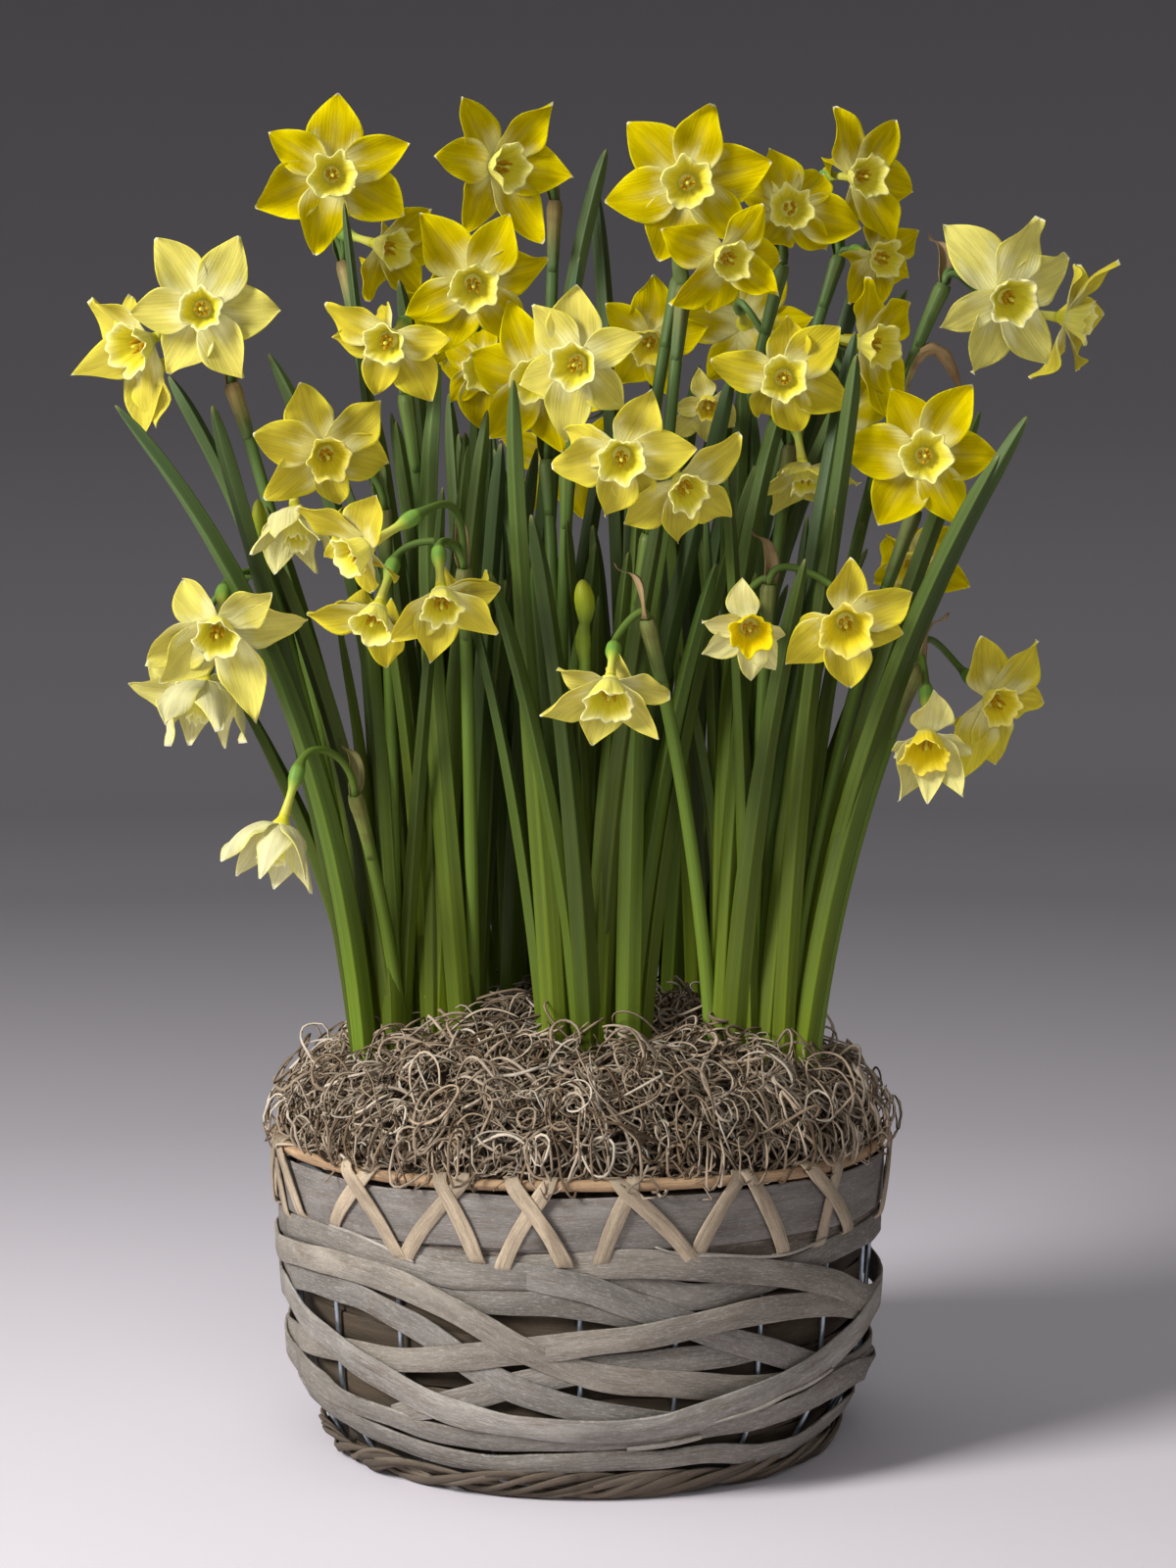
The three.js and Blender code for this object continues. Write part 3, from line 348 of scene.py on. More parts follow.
def cup_size(bloom):
    shut = bloom["open"] < -30
    return bloom["radius"] * (0.26 if shut else 0.36), bloom["radius"] * (0.56 if shut else 0.38)


class Rooms:
    """The room that each bloom takes, which stems and leaves stay out of."""

    def __init__(self):
        blooms = list(BLOOMS.values())
        self.ids = np.array([bloom["id"] for bloom in blooms])
        self.centres = np.array([spot(b["px"], b["py"], b["y"]) for b in blooms])
        self.ahead = np.array([facing(b["az"], b["el"])[0] for b in blooms])
        folds = np.radians([b["open"] for b in blooms])
        radii = np.array([b["radius"] for b in blooms])
        tips = -radii * np.sin(folds)
        self.back = np.minimum(0, tips) - 6
        self.front = np.maximum(0, tips) + 4.5
        self.reach = radii * np.cos(folds) + 2.5
        self.cup_rim, self.cup_height = np.array([cup_size(b) for b in blooms]).T

    def hold(self, points, skipped):
        away = points[:, None] - self.centres
        forward = np.sum(away * self.ahead, -1)
        out = np.sqrt(np.maximum(0, np.sum(away**2, -1) - forward**2))
        petals = (forward > self.back) & (forward < self.front) & (out < self.reach)
        cup = (forward >= 0) & (forward < self.cup_height + 2) & (out < self.cup_rim + 2.5)
        counted = ~np.isin(self.ids, skipped)
        return bool(np.any((petals | cup) & counted))


ROOMS = Rooms()
grown = {name: [np.empty((0, 3))] for name in CLUMPS}


def out_of_well(points, clump):
    across = (points[:, 0] - clump["x"]) / (nose_span(clump) / 2 + WELL_OUT[0] - 2)
    along = (points[:, 1] - clump["y"]) / (WELL_OUT[1] - 2)
    return bool(np.any((points[:, 2] <= 175) & (across**4 + along**4 > 0.9)))


def nearest(points, others):
    """The least squared distance between two sets of points"""
    if not len(others):
        return math.inf
    gaps = np.sum(points**2, 1)[:, None] + np.sum(others**2, 1) - 2 * points @ others.T
    return gaps.min()


def is_clear(points, name, skipped=(), own=0):
    if ROOMS.hold(points, list(skipped)) or out_of_well(points, CLUMPS[name]):
        return False
    for other, sets in grown.items():
        far = np.concatenate(sets)
        if other != name and nearest(points, far) <= CLEARANCE**2:
            return False
        if other == name and own and nearest(points, far[far[:, 2] >= NECK_TOP + 12]) <= own**2:
            return False
    return True


def first_clear(choices, points_of, name):
    for own in (OWN_CLEARANCE, 0):
        for choice in choices:
            if is_clear(points_of(choice), name, (), own):
                return choice
    return None


def stem_points(path):
    return path.point(np.arange(SAMPLES + 1) / SAMPLES)


def blade_points(path, turn):
    t = np.arange(SAMPLES + 1) / SAMPLES
    middle = path.point(t)
    half = blade_across(path, t, turn) * (blade_width(t) / 2 + 0.6)[:, None]
    return np.stack([middle, middle + half, middle - half], 1).reshape(-1, 3)


BOWS = [(x, y) for y in (0, 10, -10, 20, -20, 30, -30, 42, -42) for x in (0, 9, -9, 18, -18)]
STALK_SWINGS = [(0, 0), (0, 0.4), (-0.4, 0), (0.4, 0), (0, -0.4), (-0.4, 0.4), (0.4, 0.4)]
STALK_BENDS = [(rise, x, y) for rise in (0.55, 0.8, 0.3, 1.1, 0) for x, y in STALK_SWINGS]


def clear_stem(name, nose, shift, tip):
    root = root_of(name, nose, None, shift)
    paths = [rising_path(root, tip, bow) for bow in BOWS]
    return first_clear(paths, stem_points, name) or paths[0]


def stalk_path(node, bloom, bend):
    rise, x, y = bend
    ahead = facing(bloom["az"], bloom["el"])[0]
    seat = spot(bloom["px"], bloom["py"], bloom["y"]) - ahead * (CONE + 0.3)
    ovary = seat - ahead * TUBE_LENGTH
    far = np.linalg.norm(node - ovary)
    over = node + far * vec(x, y, rise)
    path = Bend(node, over, ovary - ahead * far * 0.45, ovary)
    return {"path": path, "seat": seat, "ovary": ovary, "ahead": ahead, "bloom": bloom}


def tube_points(stalk):
    return np.array([stalk["ovary"] * (1 - t) + stalk["seat"] * t for t in (0.3, 0.7)])


def stalk_points(stalk):
    return stalk["path"].point(np.arange(17) / 16)


SPATHE_TURNS = (200, 90, 270, 0, 180, 135, 225, 45, 315)


def spathe_path(node, turn):
    out = around(math.radians(turn), 1, 0)
    middle = node + out + vec(0, 0, 14)
    end = node + out * 8 + vec(0, 0, 30)
    return Bend(node, node / 3 + middle * 2 / 3, end / 3 + middle * 2 / 3, end), out


def spathe_points(path, out):
    across = vec(-out[1], out[0], 0)
    return np.array([path.point(t) + across * half for t in (0, 0.25, 0.5, 0.75, 1) for half in (-5, 0, 5)])


def grow_scapes():
    """Stems, stalks and sheaths, as lists of what each clump carries"""
    stems = []
    for clump, nose, px, py, y, blooms in SCAPES:
        node = spot(px, py, y)
        beside = [row for row in SCAPES if row[0] == clump and row[1] == nose]
        order = [row[2:5] for row in beside].index((px, py, y))
        shift = (order - (len(beside) - 1) / 2) * SCAPE_PITCH
        path = clear_stem(clump, nose, shift, node)
        grown[clump].append(stem_points(path))
        stalks = []
        for bloom in blooms:
            choices = [stalk_path(node, BLOOMS[bloom], bend) for bend in STALK_BENDS]
            fits = (
                choice
                for choice in choices
                if is_clear(stalk_points(choice), clump) and is_clear(tube_points(choice), clump, (bloom,))
            )
            stalk = next(fits, choices[0])
            grown[clump].append(np.concatenate([stalk_points(stalk), tube_points(stalk)]))
            stalks.append(stalk)
        sheath = None
        for turn in SPATHE_TURNS:
            way, out = spathe_path(node, turn)
            points = spathe_points(way, out)
            if is_clear(points, clump):
                grown[clump].append(points)
                sheath = (way, out)
                break
        stems.append({"clump": clump, "path": path, "node": node, "stalks": stalks, "sheath": sheath})
    return stems


def grow_buds():
    buds = []
    for clump, nose, px, py, y, length, radius in BUDS:
        tip = spot(px, py, y)
        path = clear_stem(clump, nose, 0, tip)
        grown[clump].append(stem_points(path))
        buds.append({"clump": clump, "path": path, "tip": tip, "length": length, "radius": radius})
    return buds


def grow_shown_leaves():
    leaves = []
    for clump, nose, slot, px, py, y in SHOWN_LEAVES:
        wanted = spot(px, py, y)
        root = root_of(clump, nose, slot)
        turn = math.atan2(wanted[1] - root[1], wanted[0] - root[0]) * 0.12
        options = [(depth, bow) for depth in (0, 12, -12, 24, -24) for bow in BOWS]

        def path_of(option):
            return rising_path(root, spot(px, py, y + option[0]), option[1])

        found = first_clear(options, lambda option: blade_points(path_of(option), turn), clump)
        if not found:
            continue
        path = path_of(found)
        grown[clump].append(blade_points(path, turn))
        leaves.append({"clump": clump, "path": path, "turn": turn})
    return leaves


# Slender leaves that fill each clump: how many stand in it
SLENDER_LEAVES = {"left": 17, "front": 12, "right": 15, "back_left": 6, "back_right": 6}
SLENDER_SEED = 977
SLENDER_DRAWS = 40
SLENDER_WIDTH = 0.72


def blade_hold(path, turn, wide):
    """Points over a blade that is narrower than a full leaf by the share wide"""
    t = np.arange(SAMPLES + 1) / SAMPLES
    middle = path.point(t)
    half = blade_across(path, t, turn) * (blade_width(t) * wide / 2)[:, None]
    return np.stack([middle, middle + half, middle - half], 1).reshape(-1, 3)


def covers_bloom(points):
    """Whether any of the points hides the inside of a bloom from the eye"""
    away = points - EYE
    reach = np.linalg.norm(away, axis=1)
    sights = away / reach[:, None]
    to_blooms = ROOMS.centres - EYE
    along = sights @ to_blooms.T
    beside = np.sqrt(np.maximum(0, np.sum(to_blooms**2, 1) - along**2))
    return bool(np.any((beside < ROOMS.reach * 0.72) & (reach[:, None] < along)))


def above_skyline(points):
    """Whether a leaf would show over or beside the flowers, where the measured ones alone do"""
    away = points - EYE
    ahead = away[:, 1] * math.cos(PITCH) - away[:, 2] * math.sin(PITCH)
    lift = away[:, 1] * math.sin(PITCH) + away[:, 2] * math.cos(PITCH)
    px = FRAME_WIDTH / 2 + FOCAL * away[:, 0] / ahead
    py = FRAME_HEIGHT / 2 - FOCAL * lift / ahead
    places, heights = zip(*SKYLINE)
    return bool(np.any(py < np.interp(px, places, heights)))


def longer(root, reach, turn, name):
    """The same leaf grown on upwards as far as it stays clear of the blooms and the view of them"""
    for factor in LEAF_GROWTH:
        side = factor**0.5
        path = rising_path(root, root + reach * vec(side, side, factor), (0, 0))
        points = blade_hold(path, turn, 0.9)
        if ROOMS.hold(points, []) or covers_bloom(points) or above_skyline(points):
            continue
        if not out_of_well(points, CLUMPS[name]):
            return path
    return rising_path(root, root + reach, (0, 0))


def grow_placed_leaves():
    """Narrow leaves at measured tips, with the share of a full leaf's width that each has"""
    leaves = []
    for name, x, px, py, y, bow, wide in PLACED_LEAVES:
        clump = CLUMPS[name]
        root = vec(clump["x"] + x, clump["y"], GROUND)
        path = rising_path(root, spot(px, py, y), (bow, 0))
        leaves.append({"clump": name, "path": path, "turn": 0.1, "wide": wide})
    return leaves


def grow_slender_leaves():
    """Leaves between those of the solids: rooted in the same necks, and clear of every bloom"""
    leaves = []
    draw = seeded(SLENDER_SEED)
    for name, clump in CLUMPS.items():
        spread = nose_span(clump) / 2 + 4
        for _ in range(SLENDER_LEAVES[name]):
            for tries in range(SLENDER_DRAWS):
                x = clump["x"] + (draw() * 2 - 1) * spread
                y = clump["y"] + (draw() * 2 - 1) * 9.5
                aside = (draw() - 0.5) * 84 + (x - clump["x"]) * 1.3 + clump["x"] * 0.32
                lean = (draw() - 0.5) * 74
                height = 245 + 155 * draw() - tries * 2
                turn = (draw() - 0.5) * 1.6
                wide = SLENDER_WIDTH * (0.75 + 0.45 * draw())
                root = vec(x, y, GROUND)
                path = rising_path(root, root + vec(aside, lean, height), (0, 0))
                points = blade_hold(path, turn, wide)
                own = 2.2 if tries < SLENDER_DRAWS * 0.7 else 1.0
                far = points[points[:, 2] > 200]
                if ROOMS.hold(points, []) or covers_bloom(points) or above_skyline(points):
                    continue
                everything = np.concatenate([row for sets in grown.values() for row in sets])
                if out_of_well(points, clump) or nearest(far, everything) <= own**2:
                    continue
                grown[name].append(points)
                leaves.append({"clump": name, "path": path, "turn": turn, "wide": wide})
                break
    return leaves


def grow_filler_leaves():
    leaves = []
    draw = seeded(FILLER_LEAF_SEED)
    taken = {row[:3] for row in SHOWN_LEAVES}
    for name, clump in CLUMPS.items():
        for nose in range(clump["noses"]):
            for slot in range(4):
                if (name, nose, slot) in taken or draw() < EMPTY_SLOTS:
                    continue
                root = root_of(name, nose, slot)
                for tries in range(FILLER_DRAWS):
                    lean = (-1 if slot < 2 else 1) * (6 + 44 * draw())
                    aside = (draw() - 0.5) * 70 + nose_shift(clump, nose) * 0.9 + clump["x"] * 0.25
                    height = 150 + 170 * draw() - tries * 2
                    turn = (draw() - 0.5) * 1.2
                    reach = vec(aside, lean, height)
                    points = blade_points(rising_path(root, root + reach, (0, 0)), turn)
                    own = OWN_CLEARANCE if tries < FILLER_DRAWS / 2 else 0
                    if not is_clear(points, name, (), own):
                        continue
                    grown[name].append(points)
                    leaves.append({"clump": name, "path": longer(root, reach, turn, name), "turn": turn})
                    break
    return leaves


# Colours are given as 0 to 255 values and turned to linear light here.
def rgb(red, green, blue):
    values = vec(red, green, blue) / 255
    return np.where(values <= 0.04045, values / 12.92, ((values + 0.055) / 1.055) ** 2.4)


def blend(stops, at):
    """Colours between stops [(place, colour), ...], at one or many places"""
    places = [place for place, _ in stops]
    colours = np.array([colour for _, colour in stops])
    return np.stack([np.interp(at, places, colours[:, i]) for i in range(3)], -1)


def smooth(low, high, value):
    t = np.clip((np.asarray(value, float) - low) / (high - low), 0, 1)
    return t * t * (3 - 2 * t)


class Form:
    """Closed lofts gathered into one mesh, with a colour and a grain place at each point"""

    def __init__(self):
        self.points = []
        self.tints = []
        self.flows = []
        self.faces = []
        self.kinds = []
        self.count = 0

    def loft(self, rings, tint, flow, kind=0, closed=False):
        rows, cols = rings.shape[:2]
        index = np.arange(rows * cols).reshape(rows, cols)
        start = index if closed else index[:-1]
        after = np.roll(index, -1, 0) if closed else index[1:]
        quads = np.stack([start, np.roll(start, -1, 1), np.roll(after, -1, 1), after], -1)
        faces = [quads.reshape(-1, 4)]
        if not closed:
            faces.append(index[0][::-1][None])
            faces.append(index[-1][None])
        flat = rings.reshape(-1, 3)
        a, b, c, d = (flat[faces[0][:, k]] for k in range(4))
        middle = flat.mean(0)
        volume = np.sum((a - middle) * np.cross(b - middle, c - middle))
        volume += np.sum((a - middle) * np.cross(c - middle, d - middle))
        if volume < 0:
            faces = [face[:, ::-1] for face in faces]
        self.points.append(flat)
        self.tints.append(np.broadcast_to(tint, rings.shape).reshape(-1, 3))
        self.flows.append(np.broadcast_to(flow, rings.shape).reshape(-1, 3))
        for face in faces:
            self.faces.append(face + self.count)
            self.kinds.append(np.full(len(face), kind))
        self.count += len(flat)

    def piece(self, name, nodes, materials):
        mesh = bpy.data.meshes.new(name)
        points = (np.concatenate(self.points) * MM).astype(np.float32)
        mesh.vertices.add(len(points))
        mesh.vertices.foreach_set("co", points.ravel())
        sizes = np.concatenate([np.full(len(face), face.shape[1]) for face in self.faces])
        corners = np.concatenate([face.ravel() for face in self.faces])
        mesh.loops.add(len(corners))
        mesh.loops.foreach_set("vertex_index", corners.astype(np.int32))
        mesh.polygons.add(len(sizes))
        starts = np.concatenate([[0], np.cumsum(sizes)[:-1]])
        mesh.polygons.foreach_set("loop_start", starts.astype(np.int32))
        mesh.polygons.foreach_set("material_index", np.concatenate(self.kinds).astype(np.int32))
        for material in materials:
            mesh.materials.append(material)
        mesh.update(calc_edges=True)
        mesh.shade_smooth()
        tint = mesh.attributes.new("tint", "FLOAT_COLOR", "POINT")
        colours = np.ones((len(points), 4), np.float32)
        colours[:, :3] = np.clip(np.concatenate(self.tints), 0, 1)
        tint.data.foreach_set("color", colours.ravel())
        flow = mesh.attributes.new("flow", "FLOAT_VECTOR", "POINT")
        flow.data.foreach_set("vector", np.concatenate(self.flows).astype(np.float32).ravel())
        made = bpy.data.objects.new(name, mesh)
        bpy.context.scene.collection.objects.link(made)
        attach(made, "root")
        if nodes:
            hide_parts(*nodes)
        return made


def swept(points, radii, sides, side=None):
    """Rings round a path: points (rows, 3), radii (rows,) or (rows, 2) for an oval"""
    along = unit(np.gradient(points, axis=0))
    side = vec(1, 0, 0) if side is None else side
    sides_out = np.empty_like(points)
    for i, way in enumerate(along):
        side = side - way * np.dot(side, way)
        side = side / max(np.linalg.norm(side), 1e-9)
        sides_out[i] = side
    other = np.cross(along, sides_out)
    radii = np.asarray(radii, float)
    wide, deep = (radii[:, 0], radii[:, 1]) if radii.ndim == 2 else (radii, radii)
    turns = np.arange(sides) * 2 * np.pi / sides
    reach = sides_out[:, None] * np.cos(turns)[None, :, None] * wide[:, None, None]
    return points[:, None] + reach + other[:, None] * np.sin(turns)[None, :, None] * deep[:, None, None]


def lengths(points):
    steps = np.linalg.norm(np.diff(points, axis=0), axis=1)
    return np.concatenate([[0], np.cumsum(steps)])


def flow_of(points, cols, seed, wide=1.0):
    """Grain places of a swept form: length along it, place across it, and a seed"""
    along = np.broadcast_to(lengths(points)[:, None], (len(points), cols))
    across = np.broadcast_to(np.abs(np.linspace(-wide, wide, cols))[None], along.shape)
    return np.stack([along, across, np.full(along.shape, seed * 17.3)], -1)


# Materials
# Painted light: petals and cups glow with their own colour, standing in for light through their thin walls and for
# light on their shaded sides.
PETAL_PAINTED_GLOW = 0.1
CUP_PAINTED_GLOW = 0.13


class Look:
    """A node material whose colour starts from the tint painted on the mesh"""

    def __init__(self, name, roughness):
        self.material = bpy.data.materials.new(name)
        self.material.use_nodes = True
        self.tree = self.material.node_tree
        self.shader = self.tree.nodes["Principled BSDF"]
        self.set("Roughness", roughness)
        self.heights = []

    def node(self, kind, **inputs):
        made = self.tree.nodes.new(kind)
        for key, value in inputs.items():
            made.inputs[key].default_value = value
        return made

    def link(self, source, target):
        self.tree.links.new(source, target)

    def set(self, socket, value):
        self.shader.inputs[socket].default_value = value

    def place(self, attribute, scale):
        """Texture places: the grain along a strip or blade, or the object's own"""
        if attribute:
            source = self.node("ShaderNodeAttribute")
            source.attribute_name = attribute
            vector = source.outputs["Vector"]
        else:
            vector = self.node("ShaderNodeTexCoord").outputs["Object"]
        mapping = self.node("ShaderNodeMapping")
        mapping.inputs["Scale"].default_value = scale
        self.link(vector, mapping.inputs["Vector"])
        return mapping.outputs["Vector"]

    def noise(self, attribute, scale, detail=3.0, rough=0.55):
        texture = self.node("ShaderNodeTexNoise", Scale=1.0, Detail=detail, Roughness=rough)
        self.link(self.place(attribute, scale), texture.inputs["Vector"])
        return texture.outputs["Fac"]

    def ranged(self, value, low, high, start=0.3, end=0.7):
        node = self.node("ShaderNodeMapRange")
        node.inputs["From Min"].default_value = start
        node.inputs["From Max"].default_value = end
        node.inputs["To Min"].default_value = low
        node.inputs["To Max"].default_value = high
        self.link(value, node.inputs["Value"])
        return node.outputs["Result"]

    def tint(self):
        source = self.node("ShaderNodeAttribute")
        source.attribute_name = "tint"
        return source.outputs["Color"]

    def scaled(self, colour, value):
        node = self.node("ShaderNodeVectorMath")
        node.operation = "SCALE"
        self.link(colour, node.inputs[0])
        self.link(value, node.inputs["Scale"])
        return node.outputs["Vector"]

    def mixed(self, colour, other, value):
        node = self.node("ShaderNodeMix")
        node.data_type = "RGBA"
        self.link(value, node.inputs["Factor"])
        self.link(colour, node.inputs[6])
        if isinstance(other, (tuple, list, np.ndarray)):
            node.inputs[7].default_value = (*other, 1)
        else:
            self.link(other, node.inputs[7])
        return node.outputs[2]

    def colour(self, colour):
        self.link(colour, self.shader.inputs["Base Color"])

    def painted_glow(self, colour, strength):
        """Painted light: an emission of the surface's own colour, standing in for light that passes through thin petals
        and for light on their shaded sides
        """
        self.link(colour, self.shader.inputs["Emission Color"])
        self.set("Emission Strength", strength)

    def bump(self, height, strength, distance):
        node = self.node("ShaderNodeBump", Strength=strength, Distance=distance)
        self.link(height, node.inputs["Height"])
        if self.heights:
            self.link(self.heights[-1], node.inputs["Normal"])
        self.heights.append(node.outputs["Normal"])
        self.link(node.outputs["Normal"], self.shader.inputs["Normal"])


def petal_look():
    look = Look("petal", 0.68)
    veins = look.noise("flow", (0.05, 1.5, 1), 4)
    patches = look.noise("flow", (0.09, 0.22, 1), 2)
    colour = look.scaled(look.tint(), look.ranged(veins, 0.86, 1.1))
    colour = look.scaled(colour, look.ranged(patches, 0.88, 1.08))
    look.colour(colour)
    # Painted light: the petal glows a little with its own colour.
    look.painted_glow(colour, PETAL_PAINTED_GLOW)
    look.bump(veins, 0.6, 0.0005)
    look.set("Subsurface Weight", 0.15)
    look.set("Subsurface Radius", (1.0, 0.8, 0.05))
    look.set("Subsurface Scale", 0.002)
    look.set("Specular IOR Level", 0.03)
    look.set("Specular Tint", (1.0, 0.92, 0.3, 1))
    return look.material


def cup_look():
    look = Look("cup", 0.66)
    folds = look.noise("flow", (0.1, 0.9, 1), 3)
    colour = look.scaled(look.tint(), look.ranged(folds, 0.88, 1.08))
    look.colour(colour)
    # Painted light: the cup glows a little with its own colour.
    look.painted_glow(colour, CUP_PAINTED_GLOW)
    look.bump(folds, 0.5, 0.0005)
    look.set("Subsurface Weight", 0.3)
    look.set("Subsurface Radius", (0.9, 0.85, 0.25))
    look.set("Subsurface Scale", 0.003)
    look.set("Specular IOR Level", 0.06)
    look.set("Specular Tint", (1.0, 0.95, 0.5, 1))
    return look.material


def leaf_look():
    look = Look("leaf", 0.48)
    veins = look.noise("flow", (0.01, 3.2, 1), 5, 0.6)
    bloom = look.noise("flow", (0.03, 0.12, 1), 3)
    streaks = look.noise("flow", (0.006, 0.7, 1), 2)
    colour = look.scaled(look.tint(), look.ranged(veins, 0.87, 1.13))
    colour = look.scaled(colour, look.ranged(streaks, 0.88, 1.12, 0.38, 0.62))
    dusted = look.ranged(bloom, 0.0, 0.08)
    look.colour(look.mixed(colour, rgb(104, 124, 90), dusted))
    look.bump(veins, 0.35, 0.0003)
    look.set("Specular IOR Level", 0.28)
    look.set("Specular Tint", (0.9, 1.0, 0.8, 1))
    look.set("Subsurface Weight", 0.05)
    look.set("Subsurface Radius", (0.6, 1.0, 0.1))
    look.set("Subsurface Scale", 0.002)
    return look.material


def paper_look():
    look = Look("dry_sheath", 0.7)
    veins = look.noise("flow", (0.06, 1.6, 1), 5)
    blotches = look.noise("flow", (0.16, 0.3, 1), 3)
    colour = look.scaled(look.tint(), look.ranged(veins, 0.7, 1.2))
    look.colour(look.mixed(colour, rgb(92, 62, 34), look.ranged(blotches, 0, 0.6, 0.5, 0.75)))
    look.bump(veins, 0.6, 0.0006)
    return look.material


def cane_look(name, roughness, wash):
    """Split cane or splint: long grain, brown undertone, fine cracks, and a scratched pale wash"""
    look = Look(name, roughness)
    grain = look.noise("flow", (0.12, 2.8, 1), 6, 0.7)
    specks = look.noise("flow", (0.9, 1.6, 1), 4, 0.7)
    cracks = look.noise("flow", (0.018, 4.2, 1), 3)
    patches = look.noise("flow", (0.03, 0.12, 1), 4)
    stains = look.noise("flow", (0.045, 0.3, 1), 5, 0.65)
    colour = look.scaled(look.tint(), look.ranged(grain, 0.76, 1.18))
    colour = look.scaled(colour, look.ranged(specks, 0.86, 1.12))
    colour = look.scaled(colour, look.ranged(patches, 0.66, 1.2))
    colour = look.mixed(colour, rgb(104, 88, 72), look.ranged(stains, 0, 0.5, 0.48, 0.68))
    colour = look.mixed(colour, rgb(56, 48, 42), look.ranged(cracks, 0.6, 0, 0.31, 0.4))
    if wash:
        wear_and_painted_light = look.noise("flow", (0.3, 1.6, 1), 8, 0.8)
        colour = look.mixed(colour, rgb(214, 210, 206), look.ranged(wear_and_painted_light, 0, wash, 0.51, 0.66))
        scuffs = look.noise("flow", (0.06, 0.2, 1), 6, 0.7)
        colour = look.mixed(colour, rgb(208, 205, 202), look.ranged(scuffs, 0, wash * 1.3, 0.62, 0.74))
    look.colour(colour)
    look.bump(grain, 0.7, 0.0005)
    look.bump(specks, 0.4, 0.0003)
    look.set("Specular IOR Level", 0.2)
    return look.material


def moss_look():
    look = Look("moss", 0.85)
    specks = look.noise("flow", (0.35, 0.5, 1), 4)
    colour = look.scaled(look.tint(), look.ranged(specks, 0.72, 1.22))
    look.colour(colour)
    look.bump(specks, 0.5, 0.0005)
    look.set("Specular IOR Level", 0.2)
    return look.material


def wire_look():
    look = Look("galvanised_wire", 0.42)
    spangle = look.noise(None, (400, 400, 400), 3)
    look.colour(look.scaled(look.tint(), look.ranged(spangle, 0.8, 1.15)))
    look.set("Metallic", 0.85)
    look.bump(spangle, 0.2, 0.0002)
    return look.material


def dirt_look():
    look = Look("potting_soil", 0.95)
    crumbs = look.noise(None, (320, 320, 320), 6, 0.7)
    colour = look.node("ShaderNodeValToRGB")
    colour.color_ramp.elements[0].position = 0.35
    colour.color_ramp.elements[0].color = (*rgb(26, 18, 12), 1)
    colour.color_ramp.elements[1].position = 0.7
    colour.color_ramp.elements[1].color = (*rgb(84, 66, 48), 1)
    look.link(crumbs, colour.inputs["Fac"])
    look.colour(colour.outputs["Color"])
    look.bump(crumbs, 0.9, 0.002)
    return look.material


def film_look():
    look = Look("liner_film", 0.4)
    wrinkles = look.noise(None, (60, 60, 60), 3)
    colour = look.node("ShaderNodeValToRGB")
    colour.color_ramp.elements[0].color = (*rgb(30, 28, 26), 1)
    colour.color_ramp.elements[1].color = (*rgb(62, 58, 54), 1)
    look.link(wrinkles, colour.inputs["Fac"])
    look.colour(colour.outputs["Color"])
    look.bump(wrinkles, 0.6, 0.001)
    return look.material


def bulb_look():
    look = Look("bulb_skin", 0.6)
    veins = look.noise(None, (160, 160, 14), 5)
    colour = look.node("ShaderNodeValToRGB")
    colour.color_ramp.elements[0].position = 0.3
    colour.color_ramp.elements[0].color = (*rgb(96, 58, 30), 1)
    colour.color_ramp.elements[1].position = 0.7
    colour.color_ramp.elements[1].color = (*rgb(186, 136, 84), 1)
    look.link(veins, colour.inputs["Fac"])
    look.colour(colour.outputs["Color"])
    look.bump(veins, 0.5, 0.0008)
    return look.material


